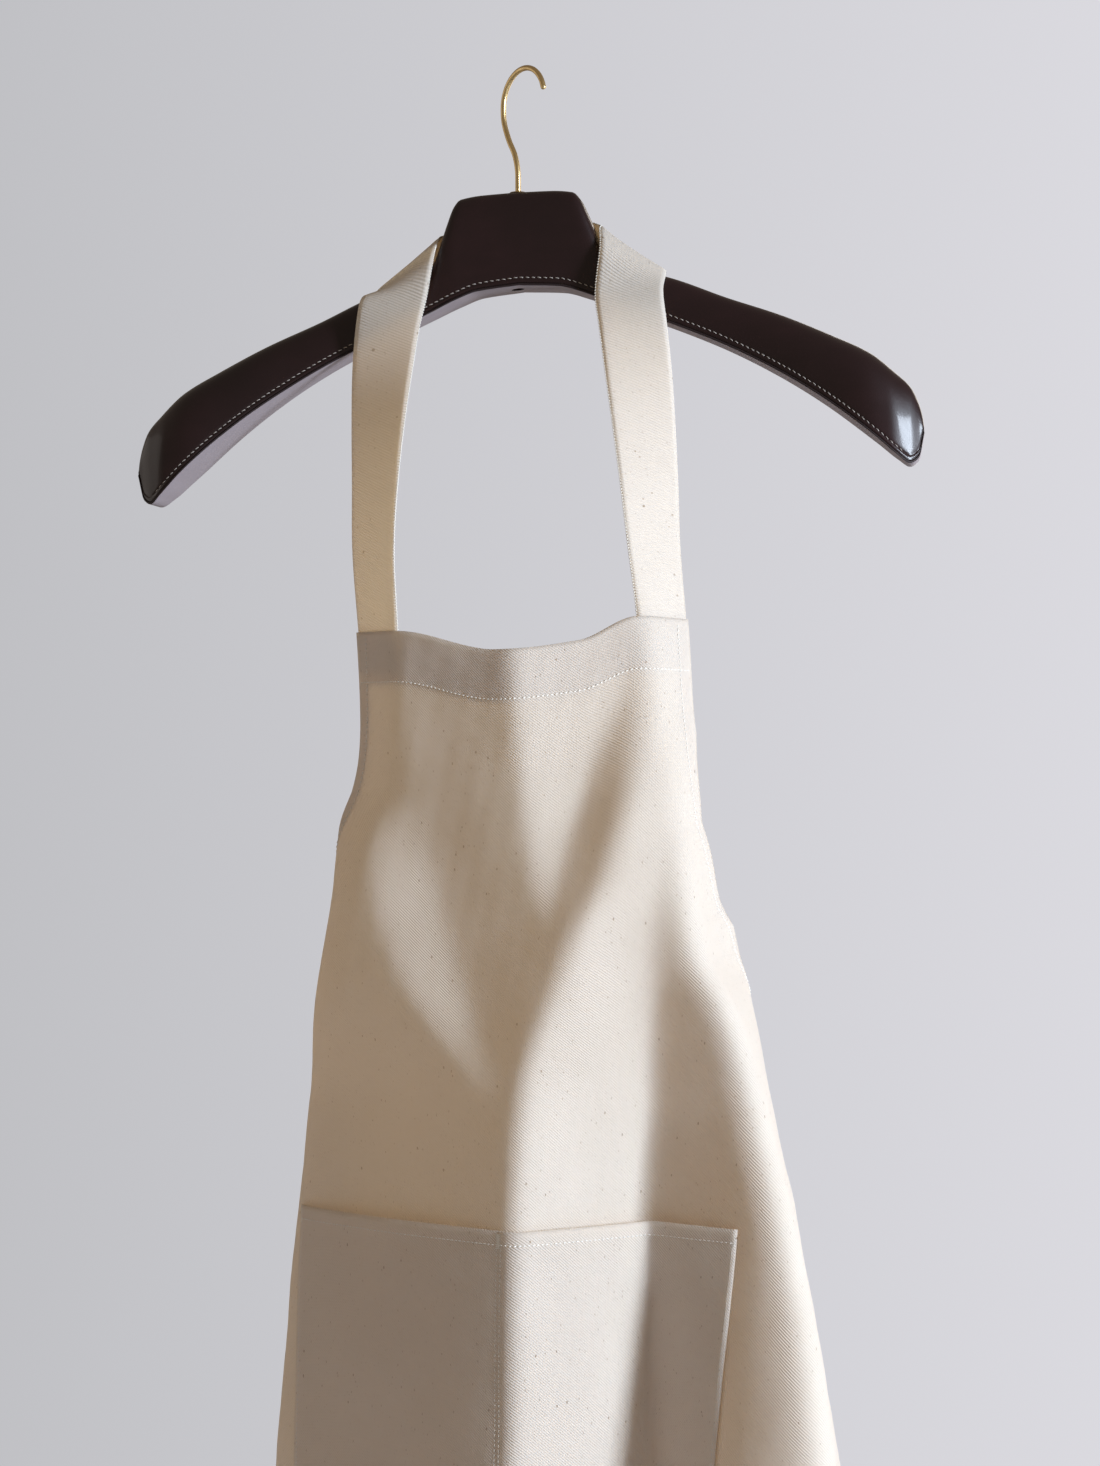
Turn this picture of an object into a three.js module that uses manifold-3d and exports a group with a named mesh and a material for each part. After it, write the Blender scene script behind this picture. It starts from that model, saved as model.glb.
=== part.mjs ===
// A bib apron hanging on a leather-covered coat hanger with a brass swivel hook.
// Millimetres, +Z up, the apron's front towards -Y. The origin is the hook seat: the inside top of the
// hook's bend, where it rests on a rail.
import * as THREE from 'three';
import { mergeVertices } from 'three/addons/utils/BufferGeometryUtils.js';
import Module from 'manifold-3d';

const wasm = await Module();
wasm.setup();

const GAP = 0.3; // clearance between touching pieces

// Hook
const WIRE_R = 1.6;
const BEND_R = 18.5; // inside radius of the bend
const HOOK_TURN = -45; // degrees from +X to the side the tip points to
const STEM_SHIFT = 5.5; // the stem stands this far behind the seat, along the hook's plane
const TIP_ANGLE = 13; // degrees above the bend's level centre where the wire ends
const STEM_END = -122.5;

// Hanger
const BLOCK_TOP = -71; // height of the neck block's top
const ROLL = 2.4; // degrees, the right arm sits higher
const TIP_X = 229.6; // half the hanger's length
const LEATHER = 1.6;
const SOLE = 1.5;
const SOLE_LIP = 0.8;
const SWEEP = 0.0003; // the arms curve forward by this much times x squared
// [distance from the middle, height below the block's top]
const TOP_LINE = [[0, 0], [20, -0.4], [33, -2], [37, -6], [41, -15], [45, -25], [50, -37], [58, -45],
  [70, -49.5], [90, -56], [120, -69], [150, -81], [180, -95.5], [201, -107], [215, -119.5], [223, -128],
  [227, -137], [229, -145], [TIP_X, -151]];
const BOTTOM_LINE = [[0, -55.5], [24, -57.5], [38, -62], [52, -68], [94, -86], [120, -98.5], [150, -116],
  [175, -133.5], [202, -156], [214, -167], [221, -172], [226, -169], [TIP_X, -155]];
const DEPTH = [[0, 27], [36, 27], [50, 25], [90, 24], [130, 28], [170, 38], [195, 43], [210, 37],
  [220, 25], [TIP_X, 8]];
const BOXINESS = [[0, 0.35], [40, 0.4], [60, 0.7], [TIP_X, 0.8]];
const HANGER_STATIONS = [0, 20, 33, 37, 41, 45, 50, 58, 70, 90, 120, 150, 180, 200, 214, 222, 227, TIP_X];

// Bush, washer and nut that hold the hook's stem in the block
const BUSH_R = 3;
const BUSH_TOP = -3;
const BUSH_END = -43;
const NUT_POCKET_R = 4.6;
const NUT_POCKET_TOP = BUSH_END - 0.8;
const ACCESS_HOLE_R = 3.7;
const DOWEL_R = 2.5;
const DOWEL_HALF = 16;
const DOWEL_Y = 7.6;
const DOWEL_Z = -31;

// Cloth
const BIB_TOP = -326;
const BAND = 31; // depth of the bib's top band
const WAIST = -596;
const HEM = -1185;
const BIB_HALF = 113;
const SKIRT_HALF = 350;
const EDGE = 12; // width of the armhole facings
const PANEL_T = 1;
const FACING_T = 0.8;
const STRAP_T = 1.2;
const POCKET_TOP = -660;
const POCKET_END = -903;
const POCKET_HALF = 150;
const POCKET_BULGE = 13;
const SWING_Y = -19.5; // where the straps leave the arms, and the apron swings
const SWING_Z = -131;
const SPLIT = 1.2; // the strap is parted by this much on each side of the swing axis
const TIE_WIDTH = 25;
const TIE_LENGTH = 560;

const { degToRad } = THREE.MathUtils;

/** Smooth monotone curve through [position, value] keys, held level past both ends. */
function keyed(keys, at) {
  const k = [...keys].sort((a, b) => a[0] - b[0]);
  const last = k.length - 1;
  if (at <= k[0][0]) return k[0][1];
  if (at >= k[last][0]) return k[last][1];
  const slope = (i) => (k[i + 1][1] - k[i][1]) / (k[i + 1][0] - k[i][0]);
  const tangent = (i) => {
    if (i === 0) return slope(0);
    if (i === last) return slope(last - 1);
    const [a, b] = [slope(i - 1), slope(i)];
    return a * b > 0 ? (2 * a * b) / (a + b) : 0;
  };
  const i = k.findIndex((key) => key[0] > at) - 1;
  const h = k[i + 1][0] - k[i][0];
  const t = (at - k[i][0]) / h;
  return (2 * t ** 3 - 3 * t ** 2 + 1) * k[i][1] + (t ** 3 - 2 * t ** 2 + t) * h * tangent(i)
    + (3 * t ** 2 - 2 * t ** 3) * k[i + 1][1] + (t ** 3 - t ** 2) * h * tangent(i + 1);
}

/** Geometry from points and triangles, turned so that its faces point out. */
function body(points, triangles) {
  let volume = 0;
  for (const [a, b, c] of triangles) {
    volume += points[a].dot(new THREE.Vector3().crossVectors(points[b], points[c]));
  }
  const index = triangles.flatMap(([a, b, c]) => (volume > 0 ? [a, b, c] : [a, c, b]));
  const geometry = new THREE.BufferGeometry();
  geometry.setAttribute('position', new THREE.Float32BufferAttribute(points.flatMap((p) => p.toArray()), 3));
  geometry.setIndex(index);
  return geometry;
}

/** Closed body through rings of equal count, with a fan over each end. */
function loft(rings) {
  const n = rings[0].length;
  const triangles = [];
  for (let r = 0; r < rings.length - 1; r++) {
    for (let k = 0; k < n; k++) {
      const [a, b] = [r * n + k, r * n + ((k + 1) % n)];
      triangles.push([a, a + n, b], [b, a + n, b + n]);
    }
  }
  const end = (rings.length - 1) * n;
  for (let k = 1; k < n - 1; k++) {
    triangles.push([0, k, k + 1], [end, end + k + 1, end + k]);
  }
  return body(rings.flat(), triangles);
}

/** Closed sheet between two grids of points of the same size. */
function sheet(front, back) {
  const [rows, columns] = [front.length, front[0].length];
  const at = (r, c, side) => side * rows * columns + r * columns + c;
  const triangles = [];
  for (let r = 0; r < rows - 1; r++) {
    for (let c = 0; c < columns - 1; c++) {
      const quad = (side) => [at(r, c, side), at(r + 1, c, side), at(r, c + 1, side), at(r + 1, c + 1, side)];
      const [a, b, d, e] = quad(0);
      const [f, g, h, i] = quad(1);
      triangles.push([a, b, d], [d, b, e], [f, h, g], [h, i, g]);
    }
  }
  const loop = [];
  for (let c = 0; c < columns - 1; c++) loop.push([0, c]);
  for (let r = 0; r < rows - 1; r++) loop.push([r, columns - 1]);
  for (let c = columns - 1; c > 0; c--) loop.push([rows - 1, c]);
  for (let r = rows - 1; r > 0; r--) loop.push([r, 0]);
  loop.forEach((p, k) => {
    const q = loop[(k + 1) % loop.length];
    triangles.push([at(...p, 0), at(...q, 0), at(...q, 1)], [at(...p, 0), at(...q, 1), at(...p, 1)]);
  });
  return body([...front.flat(), ...back.flat()], triangles);
}

/** manifold-3d solid of a closed geometry. */
function solid(geometry) {
  let bare = geometry.clone();
  bare.deleteAttribute('normal');
  bare.deleteAttribute('uv');
  bare = mergeVertices(bare, 1e-4);
  return new wasm.Manifold(new wasm.Mesh({
    numProp: 3,
    vertProperties: new Float32Array(bare.attributes.position.array),
    triVerts: new Uint32Array(bare.index.array),
  }));
}

/** Geometry of a manifold-3d solid. */
function geometryOf(manifold) {
  const mesh = manifold.getMesh();
  const geometry = new THREE.BufferGeometry();
  geometry.setAttribute('position', new THREE.Float32BufferAttribute(mesh.vertProperties, 3));
  geometry.setIndex([...mesh.triVerts]);
  return geometry;
}

/** Upright cylinder between two heights. */
function upright(radius, low, high, sides = 16) {
  return new THREE.CylinderGeometry(radius, radius, high - low, sides)
    .rotateX(Math.PI / 2).translate(0, 0, (low + high) / 2);
}

/** Upright ring between two heights. */
function ring(inner, outer, low, high, sides = 16) {
  const profile = [[inner, low], [outer, low], [outer, high], [inner, high], [inner, low]];
  return new THREE.LatheGeometry(profile.map(([r, z]) => new THREE.Vector2(r, z)), sides)
    .rotateX(Math.PI / 2);
}

/** Round bar swept along a curve. */
function bar(curve, radius, steps, sides) {
  const section = new THREE.Shape();
  for (let k = 0; k < sides; k++) {
    const angle = (2 * Math.PI * k) / sides;
    const point = [radius * Math.cos(angle), radius * Math.sin(angle)];
    if (k === 0) section.moveTo(...point);
    else section.lineTo(...point);
  }
  return new THREE.ExtrudeGeometry(section, { steps, bevelEnabled: false, extrudePath: curve });
}

const brass = new THREE.MeshStandardMaterial({ color: 0xb8995a, roughness: 0.35, metalness: 1 });
const wood = new THREE.MeshStandardMaterial({ color: 0xb08a5c, roughness: 0.7, metalness: 0 });
const leather = new THREE.MeshStandardMaterial({ color: 0x2c1a1b, roughness: 0.28, metalness: 0 });
const soleLeather = new THREE.MeshStandardMaterial({ color: 0x6d6468, roughness: 0.6, metalness: 0 });
const thread = new THREE.MeshStandardMaterial({ color: 0xb5a99a, roughness: 0.8, metalness: 0 });
const canvas = new THREE.MeshStandardMaterial({ color: 0xe3d9c6, roughness: 0.9, metalness: 0 });

/** Names a mesh and adds it to a group. */
function piece(name, geometry, material, parent) {
  const mesh = new THREE.Mesh(geometry, material);
  mesh.name = name;
  parent.add(mesh);
}

// ---------------------------------------------------------------- hook

/** The wire's centre line in the hook's own plane, X towards the tip. */
function hookCurve() {
  const radius = BEND_R + WIRE_R;
  const centre = -BEND_R;
  const points = [];
  for (let angle = TIP_ANGLE; angle <= 180; angle += (180 - TIP_ANGLE) / 10) {
    const a = degToRad(angle);
    points.push([radius * Math.cos(a), centre + radius * Math.sin(a)]);
  }
  // the wire leaves the bend, turns in under the rail and comes down the stem
  points.push([-19.2, -27], [-14.5, -38], [-8.5, -48], [-5.9, -57], [-STEM_SHIFT, -66], [-STEM_SHIFT, -85]);
  points.push([-STEM_SHIFT, -104], [-STEM_SHIFT, STEM_END]);
  return new THREE.CatmullRomCurve3(points.map(([x, z]) => new THREE.Vector3(x, 0, z)), false, 'centripetal');
}

function buildHook(parent) {
  const plane = new THREE.Group();
  plane.rotation.z = degToRad(HOOK_TURN);
  parent.add(plane);
  piece('hook', bar(hookCurve(), WIRE_R, 56, 8), brass, plane);
}

/** Washer and nut on the stem's end, inside the block. */
function buildStemFastening(hung) {
  const washerTop = BLOCK_TOP + BUSH_END - 1;
  const washerEnd = washerTop - 1;
  piece('hook_washer', ring(WIRE_R + GAP, NUT_POCKET_R - 0.7, washerEnd, washerTop), brass, hung);
  piece('hook_nut', ring(WIRE_R + GAP, 3.2, washerEnd - GAP - 2.8, washerEnd - GAP, 6), brass, hung);
}

// ---------------------------------------------------------------- hanger

/** Half-round section of the hanger at x, offset inwards, closed by its flat underside. */
function archSection(x, inset, floor, segments = 12) {
  const scale = TIP_X / (TIP_X - inset);
  const at = Math.abs(x) * scale;
  const [top, depth, power] = [keyed(TOP_LINE, at) - inset, keyed(DEPTH, at), keyed(BOXINESS, at)];
  const low = keyed(BOTTOM_LINE, Math.abs(x)) + floor;
  const half = Math.max(depth / 2 - inset, 1.5);
  const middle = -SWEEP * x * x;
  const points = [];
  for (let k = 0; k <= segments; k++) {
    const angle = (Math.PI * k) / segments;
    const across = Math.sign(Math.cos(angle)) * Math.abs(Math.cos(angle)) ** power;
    const up = Math.abs(Math.sin(angle)) ** power * (k % segments ? 1 : 0);
    points.push(new THREE.Vector3(x, middle + half * across, low + Math.max(top - low, 1) * up));
  }
  return points;
}

/** Stations from one tip to the other, drawn in by the inset. */
function stations(inset) {
  const right = HANGER_STATIONS.map((x) => x * (TIP_X - inset) / TIP_X);
  return [...right.slice(1).reverse().map((x) => -x), ...right];
}

/** Stands upright in the rolled hanger, where the plumb stem passes. */
function plumb(geometry) {
  return geometry.rotateY(degToRad(ROLL));
}

function buildCores(hanger) {
  const inset = LEATHER + GAP;
  const cuts = [
    plumb(upright(BUSH_R + GAP, NUT_POCKET_TOP - 1, 20)),
    plumb(upright(NUT_POCKET_R, -80, NUT_POCKET_TOP)),
    ...[-DOWEL_Y, DOWEL_Y].map((y) => new THREE.CylinderGeometry(DOWEL_R, DOWEL_R, 2 * DOWEL_HALF, 10)
      .rotateZ(Math.PI / 2).translate(0, y, DOWEL_Z)),
  ].map(solid);
  cuts.push(soleStrip(SOLE_LIP + 2, -6, SOLE + GAP));
  for (const [name, side] of [['left', -1], ['right', 1]]) {
    const xs = HANGER_STATIONS.map((x) => side * Math.max(x * (TIP_X - inset) / TIP_X, GAP / 2));
    let core = solid(loft(xs.map((x) => archSection(x, inset, SOLE + 2 * GAP, 10))));
    for (const cut of cuts) core = core.subtract(cut);
    piece(`core_${name}`, geometryOf(core), wood, hanger);
  }
  for (const [name, y] of [['front', -DOWEL_Y], ['back', DOWEL_Y]]) {
    const dowel = new THREE.CylinderGeometry(DOWEL_R - GAP, DOWEL_R - GAP, 2 * DOWEL_HALF - 2, 10)
      .rotateZ(Math.PI / 2).translate(0, y, DOWEL_Z);
    piece(`dowel_${name}`, dowel, wood, hanger);
  }
}

function buildCover(hanger) {
  const outer = solid(loft(stations(0).map((x) => archSection(x, 0, SOLE + GAP))));
  const inner = solid(loft(stations(LEATHER).map((x) => {
    const arch = archSection(x, LEATHER, SOLE + GAP);
    const drop = new THREE.Vector3(0, 0, -9);
    return [arch[0].clone().add(drop), ...arch, arch[arch.length - 1].clone().add(drop)];
  })));
  const hole = solid(plumb(upright(BUSH_R + GAP, -10, 20)));
  piece('leather_cover', geometryOf(outer.subtract(inner).subtract(hole)), leather, hanger);
}

/** Solid strip along the underside, between two heights above it, with a lip past the cover. */
function soleStrip(lip, floor, top) {
  return solid(loft(stations(0).map((x) => {
    const [low, half] = [keyed(BOTTOM_LINE, Math.abs(x)), keyed(DEPTH, Math.abs(x)) / 2 + lip];
    const middle = -SWEEP * x * x;
    return [[-half, floor], [half, floor], [half, top], [-half, top]]
      .map(([y, z]) => new THREE.Vector3(x, middle + y, low + z));
  })));
}

/** Strip that closes the underside, with a hole below the nut. */
function buildSole(hanger) {
  const hole = solid(plumb(upright(ACCESS_HOLE_R, -80, -40)));
  piece('leather_sole', geometryOf(soleStrip(SOLE_LIP, 0, SOLE).subtract(hole)), soleLeather, hanger);
}

/** Seam thread along one lower edge of the cover. */
function buildSeamThread(hanger, name, side) {
  const radius = 0.4;
  const points = stations(0).filter((x) => Math.abs(x) <= 215).map((x) => {
    const out = keyed(DEPTH, Math.abs(x)) / 2 + radius + GAP;
    return new THREE.Vector3(x, -SWEEP * x * x + side * out, keyed(BOTTOM_LINE, Math.abs(x)) + SOLE + 1.4);
  });
  piece(name, bar(new THREE.CatmullRomCurve3(points, false, 'centripetal'), radius, 44, 4), thread, hanger);
}

function buildHanger(hung) {
  const hanger = new THREE.Group();
  hanger.position.z = BLOCK_TOP;
  hanger.rotation.y = -degToRad(ROLL);
  hung.add(hanger);
  buildCores(hanger);
  buildCover(hanger);
  buildSole(hanger);
  buildSeamThread(hanger, 'seam_thread_front', -1);
  buildSeamThread(hanger, 'seam_thread_back', 1);
  piece('hook_bush', plumb(ring(WIRE_R + GAP, BUSH_R, BUSH_END, BUSH_TOP)), brass, hanger);
  const flange = 5;
  const profile = [[2.1, GAP], [flange, GAP], [flange - 0.6, 1.1], [2.1, 1.1], [2.1, GAP]];
  piece('hook_eyelet', new THREE.LatheGeometry(profile.map(([r, z]) => new THREE.Vector2(r, z)), 16)
    .rotateX(Math.PI / 2), brass, hanger);
}

// ---------------------------------------------------------------- cloth

/** Half the cloth's width at a height: the bib, the armhole's curve and the skirt. */
function halfWidth(z) {
  const t = THREE.MathUtils.clamp((BIB_TOP - z) / (BIB_TOP - WAIST), 0, 1);
  return BIB_HALF + (SKIRT_HALF - BIB_HALF) * t ** 3;
}

// The cloth at one height is a curve seen from above. It runs in the direction FACING_ANGLE on the middle's
// left, and each fold turns it. Every list holds [height, value]; at is measured along the cloth from its
// middle, turn is in degrees, and spread is how softly the fold turns.
const FACING_ANGLE = [[-326, -18], [-454, -21], [-673, -29], [-1185, -26]];
const LEFT_FOLDS = [
  { at: [[-326, -76], [-400, -80], [-500, -110], [-560, -140]],
    turn: [[-326, 27], [-400, 34], [-500, 10], [-560, 0]], spread: [[-326, 12], [-560, 30]] },
  { at: [[-326, -125], [-400, -135], [-478, -118], [-596, -144], [-673, -156], [-814, -168], [-1185, -190]],
    turn: [[-326, 0], [-400, 12], [-478, 60], [-596, 66], [-1185, 60]],
    spread: [[-326, 25], [-478, 20], [-1185, 32]] },
  { at: [[-540, -230], [-596, -245], [-1185, -275]],
    turn: [[-500, 0], [-596, 75], [-1185, 60]], spread: [[-540, 50], [-1185, 60]] },
];
const RIGHT_FOLDS = [
  // the bib's middle ridge, and the hollow beside it
  { at: [[-326, 0], [-400, 6], [-454, 14], [-490, 24]],
    turn: [[-326, 38], [-400, 40], [-454, 36], [-505, 0]], spread: [[-326, 9], [-490, 12]] },
  { at: [[-326, 70], [-370, 62], [-410, 45], [-454, 32], [-490, 27]],
    turn: [[-326, -4], [-370, -22], [-454, -34], [-505, 0]], spread: [[-326, 16], [-490, 10]] },
  // the long crease that runs in from the right and down the skirt's middle
  { at: [[-326, 84], [-400, 75], [-454, 60], [-519, 33], [-590, 8], [-673, 5], [-1185, 5]],
    turn: [[-326, 4], [-370, 24], [-454, 42], [-519, 50], [-673, 68], [-814, 70], [-1185, 56]],
    spread: [[-326, 14], [-454, 14], [-590, 9], [-1185, 16]] },
  // a shallow flute in the bib's left half
  { at: [[-440, -88], [-480, -80], [-519, -66], [-585, -22]],
    turn: [[-420, 0], [-480, 20], [-530, 22], [-595, 0]], spread: [[-440, 14], [-585, 12]] },
  { at: [[-440, -52], [-480, -44], [-519, -30], [-585, -4]],
    turn: [[-420, 0], [-480, -20], [-530, -22], [-595, 0]], spread: [[-440, 14], [-585, 10]] },
  // the right strap's end, the hollow below it, the rounded side and the wing behind
  { at: [[-326, 76], [-400, 88], [-478, 110]],
    turn: [[-326, 32], [-400, 30], [-500, 0]], spread: [[-326, 12], [-478, 20]] },
  { at: [[-440, 92], [-519, 88], [-673, 92], [-1185, 105]],
    turn: [[-440, 0], [-500, -38], [-540, -50], [-596, -58], [-673, -69], [-814, -89], [-1185, -60]],
    spread: [[-440, 16], [-596, 10], [-1185, 25]] },
  { at: [[-690, 158], [-1185, 170]],
    turn: [[-690, 0], [-740, 22], [-814, 32], [-1185, 25]], spread: [[-690, 9], [-1185, 20]] },
  { at: [[-440, 99], [-478, 104], [-513, 112], [-540, 129], [-596, 152], [-673, 182], [-740, 203], [-814, 219],
    [-1185, 280]],
    turn: [[-390, 0], [-440, 30], [-490, 84], [-540, 108], [-596, 116], [-673, 122], [-740, 114],
      [-814, 108], [-1185, 95]],
    spread: [[-440, 14], [-540, 10], [-740, 12], [-1185, 30]] },
  { at: [[-520, 215], [-596, 250], [-814, 310], [-1185, 340]],
    turn: [[-500, 0], [-596, 60], [-1185, 40]], spread: [[-540, 45], [-1185, 50]] },
];
const MIDDLE_X = [[-326, 4], [-478, 5], [-596, 8], [-1185, 8]];
const MIDDLE_Y = [[-326, -54], [-400, -61], [-478, -72], [-596, -92], [-673, -102], [-814, -112],
  [-1185, -124]];
// The bib's top edge dips in its middle: [distance along the cloth, drop]
const TOP_SAG = [[-113, -1], [-75, -1], [-10, -12.5], [40, -7], [75, 7], [113, 6]];

/** The cloth's direction, in radians from +X, at a distance along it. */
function clothAngle(s, z) {
  const share = (fold, sign) => keyed(fold.turn, z) * 0.5
    * (1 + Math.tanh((sign * (s - keyed(fold.at, z))) / keyed(fold.spread, z)));
  let angle = keyed(FACING_ANGLE, z);
  for (const fold of RIGHT_FOLDS) angle += share(fold, 1);
  for (const fold of LEFT_FOLDS) angle -= share(fold, -1);
  return degToRad(angle);
}

/** Points of the cloth's middle surface at distances s along it, and the direction that faces out there. */
function clothRow(distances, z) {
  const step = 2;
  const walk = (target) => {
    const count = Math.max(1, Math.round(Math.abs(target) / step));
    const ds = target / count;
    let [x, y] = [keyed(MIDDLE_X, z), keyed(MIDDLE_Y, z)];
    for (let i = 0; i < count; i++) {
      const angle = clothAngle((i + 0.5) * ds, z);
      x += Math.cos(angle) * ds;
      y += Math.sin(angle) * ds;
    }
    return [x, y];
  };
  const level = keyed([[BIB_TOP, 1], [-420, 0.7], [-600, 0]], z);
  return distances.map((s) => {
    const [x, y] = walk(s);
    const angle = clothAngle(s, z);
    return {
      point: new THREE.Vector3(x, y, z + keyed(TOP_SAG, s) * level),
      out: new THREE.Vector3(Math.sin(angle), -Math.cos(angle), 0),
    };
  });
}

const COLUMNS = [-338, -300, -250, -222, -196, -172, -150, -126, -100, -75, -50, -25, -8, 8, 25, 50, 75, 100,
  126, 150, 172, 196, 222, 250, 300, 338];
const ROWS = [BIB_TOP, -341, BIB_TOP - BAND, -380, -405, -430, -455, -480, -505, -530, -552, -572, WAIST, -634,
  POCKET_TOP, -710, -750, -800, -850, POCKET_END, -960, -1020, -1080, -1135, HEM];
const LAST_COLUMN = COLUMNS[COLUMNS.length - 1];

/** Distances along the cloth of every column at a height, the edges' own columns included. */
function columnsAt(z) {
  const half = halfWidth(z);
  const inner = COLUMNS.map((column) => (column / LAST_COLUMN) * (half - EDGE));
  return [-half, ...inner, half];
}

const CLOTH = ROWS.map((z) => clothRow(columnsAt(z), z));

/** Grid of cloth points moved out by offset(row, column), over a range of rows and columns. */
function clothGrid([firstRow, lastRow], [firstColumn, lastColumn], offset) {
  const grid = [];
  for (let r = firstRow; r <= lastRow; r++) {
    const line = [];
    for (let c = firstColumn; c <= lastColumn; c++) {
      const { point, out } = CLOTH[r][c];
      line.push(point.clone().addScaledVector(out, offset(r, c)));
    }
    grid.push(line);
  }
  return grid;
}

/** A layer of cloth on the panel, its outer face at an offset and its thickness behind that. */
function clothLayer(rows, columns, offset, thickness) {
  const back = (r, c) => offset(r, c) - thickness;
  return sheet(clothGrid(rows, columns, offset), clothGrid(rows, columns, back));
}

const rowOf = (z) => ROWS.indexOf(z);
const END_COLUMN = COLUMNS.length + 1;
const BAND_ROW = rowOf(BIB_TOP - BAND);
const WAIST_ROW = rowOf(WAIST);
const STRAP_COLUMNS = 3; // columns under each strap's end, counted from the bib's edge
const POCKET_FIRST = COLUMNS.indexOf(-POCKET_HALF) + 1;
const POCKET_LAST = COLUMNS.indexOf(POCKET_HALF) + 1;

/** How far the pocket stands off the panel: it is sewn at its sides, its foot and its middle. */
function pocketOffset(r, c) {
  const across = Math.abs(Math.sin((Math.PI * COLUMNS[c - 1]) / POCKET_HALF));
  const down = (POCKET_TOP - ROWS[r]) / (POCKET_TOP - POCKET_END);
  return PANEL_T / 2 + GAP + FACING_T + POCKET_BULGE * across * (1 - down ** 2);
}

/** Small block of thread across a pocket corner, lying on the cloth. */
function buildTack(apron, name, s, width) {
  const [{ point, out }] = clothRow([s], POCKET_TOP - 6);
  const tack = new THREE.BoxGeometry(width, 0.6, 8);
  const mesh = new THREE.Group();
  mesh.position.copy(point).addScaledVector(out, PANEL_T / 2 + 2 * GAP + FACING_T + 1.25);
  mesh.rotation.z = Math.atan2(out.x, -out.y);
  apron.add(mesh);
  piece(name, tack, thread, mesh);
}

function buildApronBody(hung) {
  const whole = [0, END_COLUMN];
  const behind = -PANEL_T / 2 - GAP;
  piece('apron_panel', clothLayer([0, ROWS.length - 1], whole, () => PANEL_T / 2, PANEL_T), canvas, hung);
  const behindStraps = behind - STRAP_T - GAP;
  piece('bib_top_facing', clothLayer([0, BAND_ROW], whole, () => behindStraps, FACING_T), canvas, hung);
  for (const [side, columns] of [['left', [0, 1]], ['right', [END_COLUMN - 1, END_COLUMN]]]) {
    const facing = clothLayer([BAND_ROW, WAIST_ROW], columns, () => behind, FACING_T);
    piece(`armhole_facing_${side}`, facing, canvas, hung);
  }
  piece('pocket_panel', clothLayer([rowOf(POCKET_TOP), rowOf(POCKET_END)], [POCKET_FIRST, POCKET_LAST],
    pocketOffset, FACING_T), canvas, hung);
  buildTack(hung, 'pocket_tack_left', -POCKET_HALF + 1.5, 2);
  buildTack(hung, 'pocket_tack_middle', -1, 4);
  buildTack(hung, 'pocket_tack_right', POCKET_HALF - 1.5, 2);
}

// ---------------------------------------------------------------- straps

/** Solid ribbon through rows of [outer edge, inner edge], cut at fractions of its width. */
function ribbon(rows, fractions, thickness) {
  const lines = rows.map(([outer, inner]) => fractions.map((f) => outer.clone().lerp(inner, f)));
  const faces = (side) => lines.map((line, r) => {
    const along = lines[Math.min(r + 1, rows.length - 1)][0].clone().sub(lines[Math.max(r - 1, 0)][0]);
    const across = rows[r][1].clone().sub(rows[r][0]);
    const out = along.cross(across).normalize().multiplyScalar((side * thickness) / 2);
    return line.map((p) => p.clone().add(out));
  });
  return sheet(faces(1), faces(-1));
}

// Rows of a leg: [height, middle x, middle y, turn in degrees], from the swing axis to the bib
const LEG_WIDTH = 39;
const LEFT_LEG = [[SWING_Z - SPLIT, -70, SWING_Y, -3], [-150, -73, -23.5, -8], [-175, -76, -23.5, -16],
  [-205, -78.5, -25.5, -27], [-240, -80.5, -25, -36], [-280, -82, -22.5, -41]];
const RIGHT_LEG = [[SWING_Z - SPLIT, 67.5, SWING_Y, 3], [-150, 70, -23, 7], [-175, 73, -23, 16],
  [-205, 76, -21.5, 27], [-240, 79, -19.5, 37], [-280, 82, -18, 46]];

/** A strap's leg, from the swing axis down to its sewn end behind the bib's band. */
function buildLeg(hung, name, legRows, firstColumn) {
  const free = legRows.map(([z, x, y, turn]) => {
    const angle = degToRad(turn);
    const half = new THREE.Vector3(Math.cos(angle), Math.sin(angle), 0).multiplyScalar(LEG_WIDTH / 2);
    const middle = new THREE.Vector3(x, y, z);
    const out = new THREE.Vector3(half.y, -half.x, 0).normalize();
    return { left: middle.clone().sub(half), right: middle.clone().add(half), out };
  });
  const columns = [...Array(STRAP_COLUMNS + 1).keys()].map((c) => firstColumn + c);
  const [bibEdge] = CLOTH;
  const start = bibEdge[firstColumn].point;
  const fractions = columns.map((c) => bibEdge[c].point.distanceTo(start)
    / bibEdge[firstColumn + STRAP_COLUMNS].point.distanceTo(start));
  const lines = free.map(({ left, right, out }) => fractions
    .map((f) => ({ point: left.clone().lerp(right, f), out })));
  const depth = -PANEL_T / 2 - GAP - STRAP_T / 2;
  for (const row of CLOTH.slice(0, 2)) {
    lines.push(columns.map((c) => {
      const { point, out } = row[c];
      return { point: point.clone().addScaledVector(out, depth), out };
    }));
  }
  const face = (side) => lines.map((line) => line
    .map(({ point, out }) => point.clone().addScaledVector(out, (side * STRAP_T) / 2)));
  piece(name, sheet(face(1), face(-1)), canvas, hung);
}

// Half of the neck loop, over the left arm to the middle of the back: [outer edge, inner edge], below the
// block's top in the hanger's own frame.
const LOOP_ROWS = [
  [[-85.5, -11, -55], [-49, -16, -36]],
  [[-84, 2, -49.6], [-47.6, -4.5, -24]],
  [[-76, 14.2, -54], [-46.6, 11.5, -19.5]],
  [[-55, 17.8, -54], [-37, 18, -15]],
  [[-28, 18.4, -52.5], [-18, 18.4, -12.5]],
];

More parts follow.
